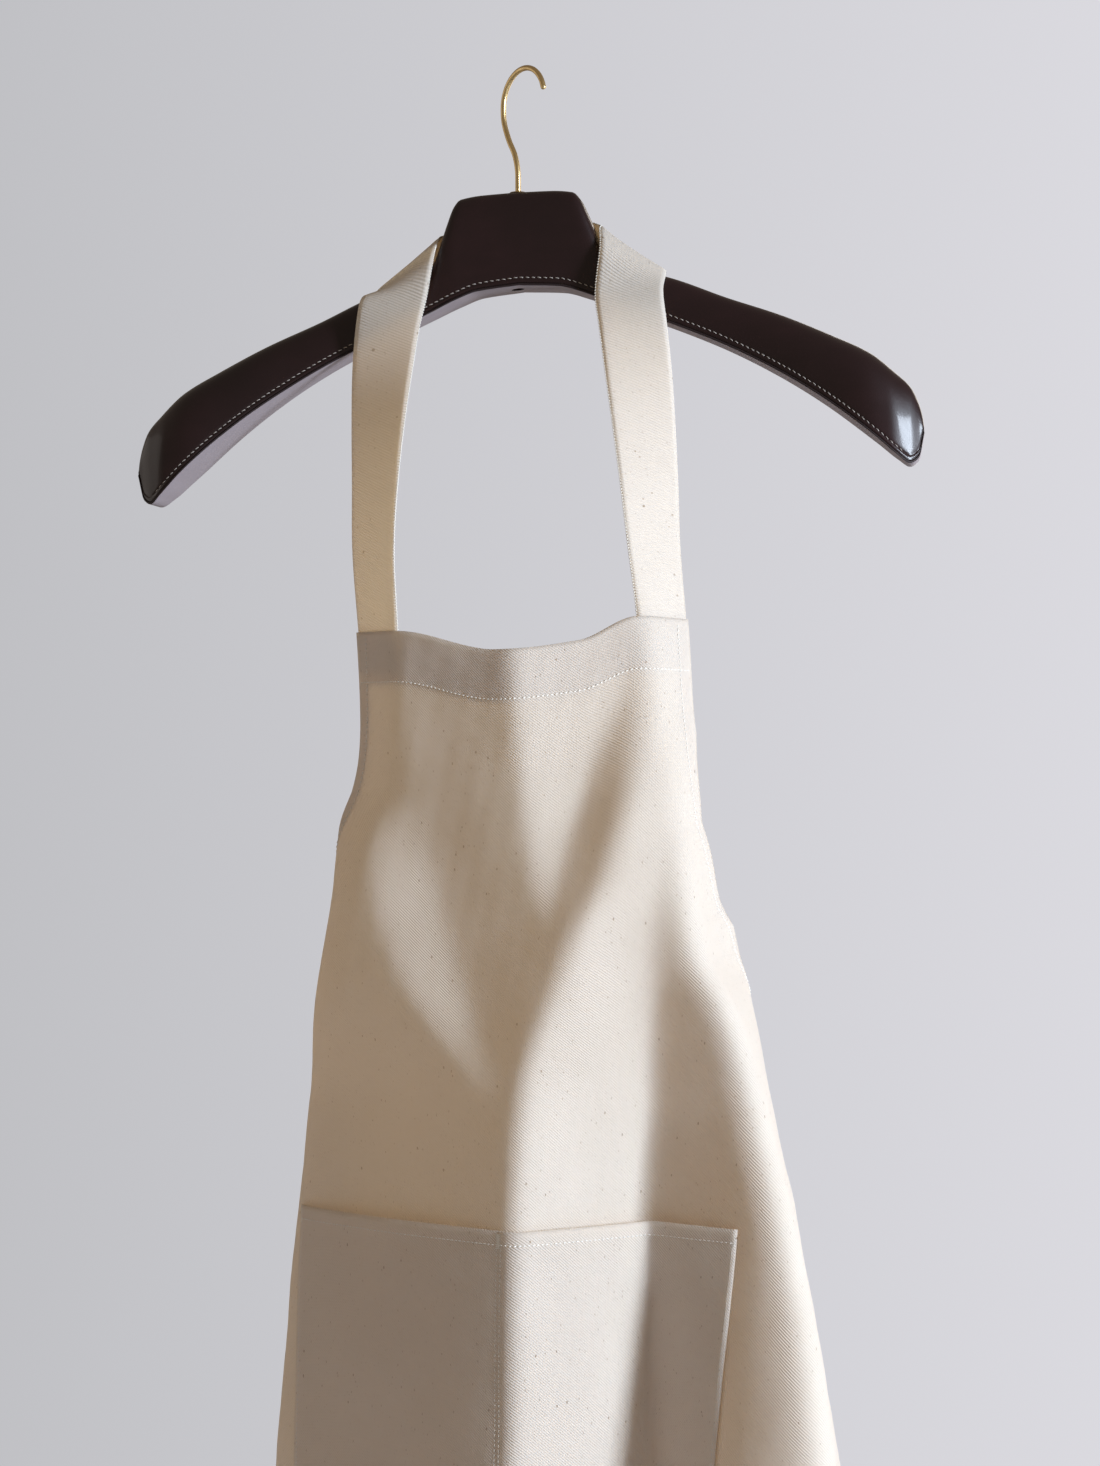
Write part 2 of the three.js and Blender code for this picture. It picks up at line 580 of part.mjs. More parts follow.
function buildNeckLoop(hung) {
  const place = new THREE.Matrix4().makeRotationY(-degToRad(ROLL)).setPosition(0, 0, BLOCK_TOP);
  const half = (mirror) => LOOP_ROWS.map((ends) => ends.map(([x, y, z]) => new THREE.Vector3(mirror * x, y, z)
    .applyMatrix4(place)));
  // a foot stands level above the swing axis, its outer end first
  const foot = ([[, x, y]], side) => [side, -side].map((end) => new THREE.Vector3(
    x + (end * (LEG_WIDTH - 3)) / 2, y, SWING_Z + SPLIT));
  const rows = [foot(LEFT_LEG, -1), ...half(1), ...half(-1).reverse(), foot(RIGHT_LEG, 1)];
  piece('neck_strap_loop', ribbon(rows, [0, 0.33, 0.67, 1], STRAP_T), canvas, hung);
  buildLeg(hung, 'neck_strap_left_leg', LEFT_LEG, 0);
  buildLeg(hung, 'neck_strap_right_leg', RIGHT_LEG, END_COLUMN - STRAP_COLUMNS);
}

// ---------------------------------------------------------------- ties

/** A waist tie, sewn to a waist corner and hanging down behind the skirt, leaning a little on it. */
function buildTie(hung, name, side) {
  const [{ point }] = clothRow([side * (SKIRT_HALF - 14)], WAIST - 8);
  const lean = 0.02;
  const stand = 13; // clear of the skirt's edge where it moves outwards below the waist
  const top = point.clone().add(new THREE.Vector3(0, stand, 0));
  const across = new THREE.Vector3(TIE_WIDTH / 2, 0, 0);
  const rows = [];
  for (let k = 0; k <= 8; k++) {
    const down = (TIE_LENGTH * k) / 8;
    const middle = top.clone().add(new THREE.Vector3(0, -lean * down, -down));
    rows.push([middle.clone().sub(across), middle.clone().add(across)]);
  }
  piece(name, ribbon(rows, [0, 1], STRAP_T), canvas, hung);
}

// ---------------------------------------------------------------- assembly

const apronOnHanger = new THREE.Group();
const hookDirection = new THREE.Vector3(Math.cos(degToRad(HOOK_TURN)), Math.sin(degToRad(HOOK_TURN)), 0);
const hung = new THREE.Group(); // everything that hangs from the stem
hung.position.copy(hookDirection).multiplyScalar(-STEM_SHIFT);
apronOnHanger.add(hung);

buildHook(apronOnHanger);
buildStemFastening(hung);
buildHanger(hung);
buildNeckLoop(hung);
buildApronBody(hung);
buildTie(hung, 'waist_tie_left', -1);
buildTie(hung, 'waist_tie_right', 1);

export default apronOnHanger;
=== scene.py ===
"""A natural canvas bib apron hanging on a leather-covered coat hanger with a brass swivel hook.

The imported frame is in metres: the origin is the hook's seat, +Z is up and the apron's front faces -Y. Sizes
and shape tables here are in millimetres, and every mesh is scaled once by MM when it is made.
"""

import logging
import math
from dataclasses import dataclass, field
from enum import Enum

import bpy
import numpy as np
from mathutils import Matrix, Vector
from mathutils.bvhtree import BVHTree

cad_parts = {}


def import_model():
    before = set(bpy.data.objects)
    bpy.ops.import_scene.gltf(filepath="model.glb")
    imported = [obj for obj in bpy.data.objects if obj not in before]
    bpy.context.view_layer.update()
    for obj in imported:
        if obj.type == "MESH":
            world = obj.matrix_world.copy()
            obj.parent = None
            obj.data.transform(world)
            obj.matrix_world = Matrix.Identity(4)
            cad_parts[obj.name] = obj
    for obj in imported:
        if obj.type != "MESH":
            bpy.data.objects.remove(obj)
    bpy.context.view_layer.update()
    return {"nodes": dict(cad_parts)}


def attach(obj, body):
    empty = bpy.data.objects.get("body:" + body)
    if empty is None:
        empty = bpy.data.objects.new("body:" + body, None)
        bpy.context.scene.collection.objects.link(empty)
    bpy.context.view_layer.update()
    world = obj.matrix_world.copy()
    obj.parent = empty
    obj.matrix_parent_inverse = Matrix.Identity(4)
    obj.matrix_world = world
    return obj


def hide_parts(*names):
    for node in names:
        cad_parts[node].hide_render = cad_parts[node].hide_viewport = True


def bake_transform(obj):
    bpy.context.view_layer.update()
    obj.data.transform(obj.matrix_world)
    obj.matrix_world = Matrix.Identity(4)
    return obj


log = logging.getLogger("apron_on_hanger")

MM = 0.001
GAP = 0.3
ROLL = math.radians(2.4)
BLOCK_TOP = -71.0
HOOK_TURN = math.radians(-45.0)
STEM_SHIFT = 5.5
CLOTH_UV = "cloth"
STITCH_SIDES = 6

# section of a stitch along its length: its share of the length, its rise and its girth in radii
STITCH_SHARE = np.array([-0.5, -0.33, 0.0, 0.33, 0.5])
STITCH_RISE = np.array([-0.9, 0.1, 0.5, 0.1, -0.9])
STITCH_GIRTH = np.array([0.5, 1.0, 1.0, 1.0, 0.5])

Keys = tuple[tuple[float, float], ...]


class Side(Enum):
    """Left or right as the viewer sees it."""

    LEFT = -1
    RIGHT = 1


class Body(Enum):
    """The frame's moving bodies."""

    HOOK = "hook"
    HANGER = "hanger"
    NECK_LOOP = "neck_loop"
    APRON = "apron"
    TIE_LEFT = "tie_left"
    TIE_RIGHT = "tie_right"


class Slot(Enum):
    """The record's material slots."""

    BRASS = "brass"
    BEECH = "beech"
    LEATHER = "leather"
    SOLE = "sole_leather"
    THREAD = "thread"
    CANVAS = "canvas"
    CANVAS_THREAD = "canvas_thread"


# ------------------------------------------------------------------ shape tools


class Curve:
    """Smooth monotone curve through keys, held level past both ends."""

    def __init__(self, keys: Keys) -> None:
        """Works out the slope at every key.

        Args:
            keys: pairs of position and value, in any order.
        """
        ordered = sorted(keys)
        self.at = np.array([k[0] for k in ordered], float)
        self.value = np.array([k[1] for k in ordered], float)
        rise = np.diff(self.value) / np.diff(self.at)
        self.slope = np.zeros(len(ordered))
        self.slope[0], self.slope[-1] = rise[0], rise[-1]
        before, after = rise[:-1], rise[1:]
        same = before * after > 0
        self.slope[1:-1][same] = 2 * (before * after)[same] / (before + after)[same]

    def __call__(self, at: np.ndarray | float) -> np.ndarray:
        """Values of the curve.

        Args:
            at: one or more positions.

        Returns:
            The value at each position.
        """
        at = np.clip(np.asarray(at, float), self.at[0], self.at[-1])
        i = np.clip(np.searchsorted(self.at, at, "right") - 1, 0, len(self.at) - 2)
        h = self.at[i + 1] - self.at[i]
        t = (at - self.at[i]) / h
        return (
            (2 * t**3 - 3 * t**2 + 1) * self.value[i]
            + (t**3 - 2 * t**2 + t) * h * self.slope[i]
            + (3 * t**2 - 2 * t**3) * self.value[i + 1]
            + (t**3 - t**2) * h * self.slope[i + 1]
        )


def smooth_step(low: float, high: float, at: np.ndarray | float) -> np.ndarray:
    """Rises smoothly between two positions.

    Args:
        low: where it is still 0.
        high: where it has reached 1.
        at: one or more positions.

    Returns:
        The share at each position.
    """
    t = np.clip((np.asarray(at, float) - low) / (high - low), 0, 1)
    return t * t * (3 - 2 * t)


def spline(rows: np.ndarray, spacing: float) -> np.ndarray:
    """Centripetal Catmull-Rom spline through rows of points.

    Args:
        rows: (count, columns, 3) control rows, every column a spline of its own.
        spacing: distance between the new rows.

    Returns:
        The new rows, with the first and last ones kept.
    """
    middle = rows.mean(axis=1)
    chord = np.linalg.norm(np.diff(middle, axis=0), axis=1)
    knot = np.concatenate([[0], np.cumsum(np.sqrt(chord))])
    first, last = 2 * rows[0] - rows[1], 2 * rows[-1] - rows[-2]
    p = np.concatenate([first[None], rows, last[None]])
    k = np.concatenate([[-knot[1]], knot, [2 * knot[-1] - knot[-2]]])
    made = []
    for i in range(1, len(p) - 2):
        steps = max(1, round(chord[i - 1] / spacing))
        for t in np.linspace(k[i], k[i + 1], steps, endpoint=False):
            a1 = p[i - 1] + (p[i] - p[i - 1]) * (t - k[i - 1]) / (k[i] - k[i - 1])
            a2 = p[i] + (p[i + 1] - p[i]) * (t - k[i]) / (k[i + 1] - k[i])
            a3 = p[i + 1] + (p[i + 2] - p[i + 1]) * (t - k[i + 1]) / (k[i + 2] - k[i + 1])
            b1 = a1 + (a2 - a1) * (t - k[i - 1]) / (k[i + 1] - k[i - 1])
            b2 = a2 + (a3 - a2) * (t - k[i]) / (k[i + 2] - k[i])
            made.append(b1 + (b2 - b1) * (t - k[i]) / (k[i + 1] - k[i]))
    made.append(rows[-1])
    return np.array(made)


def unit(vectors: np.ndarray) -> np.ndarray:
    """Vectors scaled to length one."""
    return vectors / np.maximum(np.linalg.norm(vectors, axis=-1, keepdims=True), 1e-12)


def hung_place(points: np.ndarray) -> np.ndarray:
    """Points of what hangs plumb from the stem, moved to the row frame."""
    shift = -STEM_SHIFT * np.array([math.cos(HOOK_TURN), math.sin(HOOK_TURN), 0.0])
    return np.asarray(points, float) + shift


def hanger_to_hung(points: np.ndarray) -> np.ndarray:
    """Turns points of the rolled hanger to stand among what hangs plumb.

    Args:
        points: points in the hanger's own frame.

    Returns:
        The same points, plumb.
    """
    points = np.asarray(points, float)
    x, y, z = points[..., 0], points[..., 1], points[..., 2]
    cos, sin = math.cos(ROLL), math.sin(ROLL)
    return np.stack([x * cos - z * sin, y, x * sin + z * cos + BLOCK_TOP], axis=-1)


def hanger_place(points: np.ndarray) -> np.ndarray:
    """Points in the rolled hanger's own frame, moved to the row frame."""
    return hung_place(hanger_to_hung(points))


@dataclass
class Surface:
    """Points, faces and flat coordinates of a mesh in the making, in millimetres in the row frame."""

    points: np.ndarray
    faces: list[tuple[int, ...]]
    flat: np.ndarray | None = None

    def outward(self) -> "Surface":
        """Turns the faces of a closed surface out.

        Returns:
            The same surface.
        """
        volume = 0.0
        for size in {len(f) for f in self.faces}:
            f = np.array([face for face in self.faces if len(face) == size])
            for k in range(1, size - 1):
                a, b, c = self.points[f[:, 0]], self.points[f[:, k]], self.points[f[:, k + 1]]
                volume += float(np.einsum("ij,ij->i", a, np.cross(b, c)).sum())
        if volume < 0:
            self.faces = [tuple(reversed(f)) for f in self.faces]
        return self

    def piece(self, name: str) -> bpy.types.Object:
        """Makes the Blender object.

        Args:
            name: the piece's name.

        Returns:
            The object at the origin, its place in its mesh, shaded smooth.
        """
        mesh = bpy.data.meshes.new(name)
        mesh.from_pydata((self.points * MM).tolist(), [], self.faces)
        if self.flat is not None:
            loops = np.zeros(len(mesh.loops), np.int32)
            mesh.loops.foreach_get("vertex_index", loops)
            layer = mesh.uv_layers.new(name=CLOTH_UV)
            layer.data.foreach_set("uv", (self.flat * MM)[loops].astype(np.float32).ravel())
        mesh.polygons.foreach_set("use_smooth", [True] * len(mesh.polygons))
        mesh.validate()
        mesh.update()
        obj = bpy.data.objects.new(name, mesh)
        bpy.context.scene.collection.objects.link(obj)
        return obj


def joined(parts: list[Surface]) -> Surface:
    """One surface from several.

    Args:
        parts: the surfaces, without flat coordinates.

    Returns:
        All of them in one.
    """
    points, faces, start = [], [], 0
    for part in parts:
        points.append(part.points)
        faces += [tuple(i + start for i in f) for f in part.faces]
        start += len(part.points)
    return Surface(np.concatenate(points), faces)


def closed_sheet(front: np.ndarray, back: np.ndarray, flat: np.ndarray | None = None) -> Surface:
    """Closed sheet between two grids of points.

    Args:
        front: (rows, columns, 3) points of one face.
        back: the other face's points, as many.
        flat: (rows, columns, 2) flat coordinates, shared by both faces.

    Returns:
        The closed surface.
    """
    rows, columns = front.shape[:2]
    at = np.arange(rows * columns).reshape(rows, columns)
    other = at + rows * columns
    quad = np.stack([at[:-1, :-1], at[1:, :-1], at[1:, 1:], at[:-1, 1:]], axis=-1).reshape(-1, 4)
    faces = [tuple(f) for f in quad.tolist()]
    faces += [tuple(reversed(f)) for f in (quad + rows * columns).tolist()]
    rim = [*at[0, :-1], *at[:-1, -1], *at[-1, :0:-1], *at[:0:-1, 0]]
    rim_other = [*other[0, :-1], *other[:-1, -1], *other[-1, :0:-1], *other[:0:-1, 0]]
    for k in range(len(rim)):
        j = (k + 1) % len(rim)
        faces.append((int(rim[k]), int(rim[j]), int(rim_other[j]), int(rim_other[k])))
    points = np.concatenate([front.reshape(-1, 3), back.reshape(-1, 3)])
    both = None if flat is None else np.concatenate([flat.reshape(-1, 2)] * 2)
    return Surface(points, faces, both).outward()


def lofted(rings: np.ndarray) -> Surface:
    """Closed body through rings, with a face over each end.

    Args:
        rings: (count, sides, 3) points.

    Returns:
        The closed surface.
    """
    count, sides = rings.shape[:2]
    faces = []
    for r in range(count - 1):
        for k in range(sides):
            a, b = r * sides + k, r * sides + (k + 1) % sides
            faces.append((a, a + sides, b + sides, b))
    faces.append(tuple(range(sides)))
    faces.append(tuple((count - 1) * sides + k for k in reversed(range(sides))))
    return Surface(rings.reshape(-1, 3), faces).outward()


def tube(line: np.ndarray, radii: np.ndarray, across: np.ndarray, sides: int) -> Surface:
    """Round tube along a line.

    Args:
        line: (count, 3) points.
        radii: the radius at each point.
        across: a direction that the line never runs along.
        sides: sides of the section.

    Returns:
        The closed surface.
    """
    along = unit(np.gradient(line, axis=0))
    one = unit(np.cross(along, across))
    two = np.cross(along, one)
    turn = 2 * math.pi * np.arange(sides) / sides
    ring = one[:, None] * np.cos(turn)[None, :, None] + two[:, None] * np.sin(turn)[None, :, None]
    return lofted(line[:, None] + ring * np.asarray(radii)[:, None, None])


@dataclass(frozen=True)
class StitchStyle:
    """How a row of hand or machine stitches looks."""

    pitch: float
    length: float
    radius: float
    slant: float = 0.0

    def row(self, line: np.ndarray, out: np.ndarray) -> Surface:
        """Separate small stitches along a line on a surface.

        Args:
            line: (count, 3) points on the surface.
            out: the surface's outward direction at each point.

        Returns:
            The stitches, each sunk into the surface at both its ends.
        """
        along = np.concatenate([[0], np.cumsum(np.linalg.norm(np.diff(line, axis=0), axis=1))])
        count = max(1, int(along[-1] // self.pitch))
        middle = (np.arange(count) + 0.5) * along[-1] / count
        share, rise, girth = STITCH_SHARE, STITCH_RISE * self.radius, STITCH_GIRTH * self.radius
        at = middle[:, None] + share * self.length
        point = np.stack([np.interp(at, along, line[:, k]) for k in range(3)], axis=-1)
        normal = unit(np.stack([np.interp(at, along, out[:, k]) for k in range(3)], axis=-1))
        run = unit(np.gradient(point, axis=1))
        side = np.cross(run, normal)
        point = point + side * (share * self.slant)[None, :, None] + normal * rise[None, :, None]
        turn = 2 * math.pi * np.arange(STITCH_SIDES) / STITCH_SIDES
        ring = (
            normal[:, :, None] * np.cos(turn)[None, None, :, None]
            + side[:, :, None] * np.sin(turn)[None, None, :, None]
        )
        rings = point[:, :, None] + ring * girth[None, :, None, None]
        one = lofted(rings[0])
        size = len(one.points)
        faces = [tuple(i + size * s for i in f) for s in range(count) for f in one.faces]
        return Surface(rings.reshape(-1, 3), faces)


def alone() -> None:
    """Leaves edit mode and deselects everything."""
    if bpy.context.object and bpy.context.object.mode != "OBJECT":
        bpy.ops.object.mode_set(mode="OBJECT")
    bpy.ops.object.select_all(action="DESELECT")


def choose(obj: bpy.types.Object) -> None:
    """Makes an object the only selected one, and the active one.

    Args:
        obj: the object.
    """
    alone()
    obj.select_set(True)
    bpy.context.view_layer.objects.active = obj


def edit(obj: bpy.types.Object) -> None:
    """Opens an object in edit mode with all of it selected.

    Args:
        obj: the object.
    """
    choose(obj)
    bpy.ops.object.mode_set(mode="EDIT")
    bpy.ops.mesh.select_all(action="SELECT")


def settle(obj: bpy.types.Object, name: str, angle: float = 35.0) -> bpy.types.Object:
    """Names a modelled object, moves its place into its mesh and shades it smooth.

    Args:
        obj: the object.
        name: its name as a piece.
        angle: the sharpest edge that is still shaded smooth, in degrees.

    Returns:
        The same object.
    """
    choose(obj)
    bpy.ops.object.transform_apply(location=True, rotation=True, scale=True)
    bpy.ops.object.shade_smooth_by_angle(angle=math.radians(angle))
    obj.name = obj.data.name = name
    return obj


def apply(obj: bpy.types.Object, kind: str, **settings: object) -> None:
    """Adds a modifier and applies it.

    Args:
        obj: the object.
        kind: the modifier's type.
        settings: its properties.
    """
    choose(obj)
    modifier = obj.modifiers.new(kind.title(), kind)
    for key, value in settings.items():
        setattr(modifier, key, value)
    bpy.ops.object.modifier_apply(modifier=modifier.name)


def drill(obj: bpy.types.Object, radius: float, depth: float, middle: Vector, sides: int) -> None:
    """Cuts an upright round hole.

    Args:
        obj: the object to cut.
        radius: the hole's radius in metres.
        depth: the cutter's height in metres.
        middle: the cutter's middle in metres.
        sides: sides of the hole.
    """
    alone()
    bpy.ops.mesh.primitive_cylinder_add(vertices=sides, radius=radius, depth=depth, location=middle)
    cutter = bpy.context.object
    apply(obj, "BOOLEAN", operation="DIFFERENCE", object=cutter, solver="EXACT")
    bpy.data.objects.remove(cutter)


def turned(name: str, profile: list[tuple[float, float]], centre: np.ndarray) -> bpy.types.Object:
    """A turned ring: a closed profile spun about an upright axis.

    Args:
        name: the piece's name.
        profile: (radius, height) corners of the section, in millimetres.
        centre: the axis's foot in the row frame, in millimetres.

    Returns:
        The ring, closed and smooth.
    """
    corners = [Vector(centre + np.array([r, 0, z])) * MM for r, z in profile]
    mesh = bpy.data.meshes.new(name)
    mesh.from_pydata(corners, [(i, (i + 1) % len(corners)) for i in range(len(corners))], [])
    obj = bpy.data.objects.new(name, mesh)
    bpy.context.scene.collection.objects.link(obj)
    edit(obj)
    bpy.ops.mesh.spin(steps=48, angle=2 * math.pi, center=tuple(centre * MM), axis=(0, 0, 1))
    bpy.ops.mesh.select_all(action="SELECT")
    bpy.ops.mesh.remove_doubles(threshold=1e-6)
    bpy.ops.mesh.normals_make_consistent(inside=False)
    bpy.ops.object.mode_set(mode="OBJECT")
    return settle(obj, name)


# ------------------------------------------------------------------ shader tools


class Signal:
    """A socket's number, whose arithmetic adds Math nodes."""

    def __init__(self, graph: "Graph", socket: bpy.types.NodeSocket) -> None:
        """Wraps a socket of a graph."""
        self.graph = graph
        self.socket = socket

    def _with(self, operation: str, a: object, b: object) -> "Signal":
        """A Math node on two numbers or signals."""
        node = self.graph.node("ShaderNodeMath", {"operation": operation}, {0: a, 1: b})
        return Signal(self.graph, node.outputs[0])

    def __add__(self, other: object) -> "Signal":
        """self + other."""
        return self._with("ADD", self, other)

    __radd__ = __add__

    def __sub__(self, other: object) -> "Signal":
        """self - other."""
        return self._with("SUBTRACT", self, other)

    def __rsub__(self, other: object) -> "Signal":
        """other - self."""
        return self._with("SUBTRACT", other, self)

    def __mul__(self, other: object) -> "Signal":
        """self * other."""
        return self._with("MULTIPLY", self, other)

    __rmul__ = __mul__

    def __lt__(self, other: object) -> "Signal":
        """1 where self is below other, else 0."""
        return self._with("LESS_THAN", self, other)

    def __gt__(self, other: object) -> "Signal":
        """1 where self is above other, else 0."""
        return self._with("GREATER_THAN", self, other)

    def wave(self) -> "Signal":
        """Sine of the number."""
        return self._with("SINE", self, 0.0)


class Graph:
    """The node tree of a material or of the surroundings."""

    def __init__(self, name: str, owner: bpy.types.World | None = None) -> None:
        """Starts an empty tree.

        Args:
            name: the name of a new material, where there is no owner.
            owner: the surroundings, where the tree is theirs.
        """
        self.owner = owner or bpy.data.materials.new(name)
        self.owner.use_nodes = True
        self.tree = self.owner.node_tree
        self.tree.nodes.clear()

    def node(self, kind: str, settings: dict | None = None, sockets: dict | None = None) -> bpy.types.Node:
        """Adds a node.

        Args:
            kind: the node's type.
            settings: its properties, and "stops" for a colour ramp, as (position, colour) pairs.
            sockets: values or links of its inputs, by name or index.

        Returns:
            The new node.
        """
        made = self.tree.nodes.new(kind)
        for key, value in (settings or {}).items():
            if key == "stops":
                ramp = made.color_ramp
                while len(ramp.elements) < len(value):
                    ramp.elements.new(0.5)
                for element, (position, colour) in zip(ramp.elements, value):
                    element.position = position
                    element.color = (*colour, 1.0)
            else:
                setattr(made, key, value)
        for key, value in (sockets or {}).items():
            value = value.socket if isinstance(value, Signal) else value
            if isinstance(value, bpy.types.NodeSocket):
                self.tree.links.new(value, made.inputs[key])
            else:
                made.inputs[key].default_value = value
        return made

    def signal(self, socket: bpy.types.NodeSocket) -> Signal:
        """Wraps a socket for arithmetic."""
        return Signal(self, socket)

    def place(self, stretch: tuple[float, float, float], flat: bool) -> bpy.types.NodeSocket:
        """Stretched coordinates.

        Args:
            stretch: the scale along each axis.
            flat: whether they are the cloth's own flat ones instead of the object's.

        Returns:
            The coordinates' socket.
        """
        if flat:
            source = self.node("ShaderNodeUVMap", {"uv_map": CLOTH_UV}).outputs["UV"]
        else:
            source = self.node("ShaderNodeTexCoord").outputs["Object"]
        return self.node("ShaderNodeMapping", None, {"Vector": source, "Scale": stretch}).outputs["Vector"]

    def noise(self, where: bpy.types.NodeSocket, scale: float, detail: float = 2.0) -> Signal:
        """Noise from 0 to 1.

        Args:
            where: the coordinates.
            scale: how fine it is.
            detail: how many finer layers it has.

        Returns:
            The noise as a signal.
        """
        sockets = {"Vector": where, "Scale": scale, "Detail": detail}
        return self.signal(self.node("ShaderNodeTexNoise", None, sockets).outputs[0])

    def blend(self, share: object, a: object, b: object) -> bpy.types.NodeSocket:
        """Mixes two colours.

        Args:
            share: how much of the second colour shows.
            a: the first colour or its socket.
            b: the second colour or its socket.

        Returns:
            The mixed colour's socket.
        """
        a, b = [(*c, 1.0) if isinstance(c, tuple) else c for c in (a, b)]
        return self.node("ShaderNodeMix", {"data_type": "RGBA"}, {0: share, 6: a, 7: b}).outputs[2]

    def bump(self, height: Signal, distance: float, strength: float = 1.0) -> bpy.types.NodeSocket:
        """Surface relief from a height.

        Args:
            height: the height.
            distance: how many metres a height of one stands for.
            strength: the relief's share.

        Returns:
            The normal's socket.
        """
        sockets = {"Height": height, "Distance": distance, "Strength": strength}
        return self.node("ShaderNodeBump", None, sockets).outputs["Normal"]

    def finish(self, shader: bpy.types.NodeSocket, output: str = "Material") -> bpy.types.ID:
        """Connects the shader to the output and gives back the tree's owner."""
        self.node(f"ShaderNodeOutput{output}", None, {"Surface": shader})
        return self.owner


@dataclass(frozen=True)
class CanvasFinish:
    """Unbleached cotton twill that lets some warm light through, with dark seed flecks."""

    name: str
    pale: tuple[float, float, float] = (0.89, 0.87, 0.84)
    deep: tuple[float, float, float] = (0.77, 0.73, 0.67)
    seed: tuple[float, float, float] = (0.16, 0.09, 0.045)
    through: tuple[float, float, float] = (0.94, 0.78, 0.55)
    through_share: float = 0.45
    twill_pitch: float = 0.0016
    flecks: tuple[tuple[float, float, float, float], ...] = (
        (150.0, 0.07, 0.45, 0.7), (330.0, 0.12, 0.6, 0.45), (620.0, 0.16, 0.6, 0.25))

    def material(self) -> bpy.types.Material:
        """Builds the twill, its slubs and its flecks.

        Returns:
            The material.
        """
        g = Graph(self.name)
        where = g.place((1, 1, 1), flat=True)
        axes = g.node("ShaderNodeSeparateXYZ", None, {0: where})
        u, v = g.signal(axes.outputs[0]), g.signal(axes.outputs[1])
        around = 2 * math.pi / self.twill_pitch
        twill = ((u * 0.85 + v) * around).wave()
        warp = g.noise(g.place((1.0, 0.06, 1), flat=True), 1900)
        weft = g.noise(g.place((0.06, 1.0, 1), flat=True), 1700)
        cloud = g.noise(where, 26, 3.0)
        mottle = g.noise(where, 420, 2.0)
        tone = (warp + weft) * 0.35 + cloud * 0.35 + mottle * 0.25 + twill * 0.12 - 0.34
        colour = g.blend(tone, self.pale, self.deep)
        for scale, size, some, depth in self.flecks:
            spot = g.node("ShaderNodeTexVoronoi", None, {
                "Vector": g.place((1.0, 0.55, 1), flat=True), "Scale": scale})
            rare = g.node("ShaderNodeSeparateColor", None, {0: spot.outputs["Color"]})
            near = g.signal(spot.outputs["Distance"]) < size
            present = g.signal(rare.outputs[0]) > some
            colour = g.blend(near * present * depth, colour, self.seed)
        height = twill * 0.7 + warp * 0.9 + weft * 0.9 + mottle * 0.5
        normal = g.bump(height, 0.0002, 0.9)
        skin = g.node("ShaderNodeBsdfPrincipled", None, {
            "Base Color": colour, "Roughness": 0.92, "Sheen Weight": 0.12, "Sheen Roughness": 0.6,
            "Specular IOR Level": 0.25, "Normal": normal})
        glow = g.node("ShaderNodeBsdfTranslucent", None, {"Color": (*self.through, 1.0)})
        both = g.node("ShaderNodeMixShader", None, {
            0: self.through_share, 1: skin.outputs[0], 2: glow.outputs[0]})
        return g.finish(both.outputs[0])


@dataclass(frozen=True)
class LeatherFinish:
    """Drum-dyed leather with fine pores and soft creases."""

    name: str
    colour: tuple[float, float, float]
    worn: tuple[float, float, float]
    roughness: float
    polish: float
    grain: float = 1100.0
    edge: tuple[float, float, float] | None = None

    def material(self) -> bpy.types.Material:
        """Builds the pores, the creases and the polish.

        Returns:
            The material.
        """
        g = Graph(self.name)
        where = g.place((1, 1, 1), flat=False)
        pores = g.node("ShaderNodeTexVoronoi", {"feature": "DISTANCE_TO_EDGE"}, {
            "Vector": where, "Scale": self.grain})
        cells = g.signal(pores.outputs["Distance"])
        cloud = g.noise(where, 14, 4.0)
        streak = g.noise(g.place((0.3, 1, 1), flat=False), 120, 3.0)
        colour = g.blend((cloud - 0.35) * 1.6 * streak + 0.08, self.colour, self.worn)
        if self.edge:
            under = g.node("ShaderNodeSeparateXYZ", None, {0: g.place((1, 1, 1), flat=True)})
            colour = g.blend(under.outputs[1], self.edge, colour)
        rough = cloud * 0.12 + streak * 0.08 + (self.roughness - 0.1)
        normal = g.bump(cells * 0.5 + streak * 0.6 + cloud * 1.2, 0.00022, 0.5)
        skin = g.node("ShaderNodeBsdfPrincipled", None, {
            "Base Color": colour, "Roughness": rough, "Coat Weight": self.polish,
            "Coat Roughness": 0.12, "Specular IOR Level": 0.26, "Normal": normal})
        return g.finish(skin.outputs[0])


@dataclass(frozen=True)
class BrassFinish:
    """Satin brass with a fine drawn grain and slight tarnish."""

    name: str
    bright: tuple[float, float, float] = (0.72, 0.54, 0.27)
    tarnished: tuple[float, float, float] = (0.40, 0.28, 0.13)

    def material(self) -> bpy.types.Material:
        """Builds the drawn grain and the tarnish.

        Returns:
            The material.
        """
        g = Graph(self.name)
        grain = g.noise(g.place((1, 1, 0.08), flat=False), 2600, 3.0)
        cloud = g.noise(g.place((1, 1, 1), flat=False), 160, 3.0)
        colour = g.blend((cloud - 0.42) * 1.5 + grain * 0.15, self.bright, self.tarnished)
        metal = g.node("ShaderNodeBsdfPrincipled", None, {
            "Base Color": colour, "Metallic": 1.0, "Roughness": grain * 0.12 + cloud * 0.1 + 0.26,
            "Normal": g.bump(grain, 0.00001, 0.25)})
        return g.finish(metal.outputs[0])


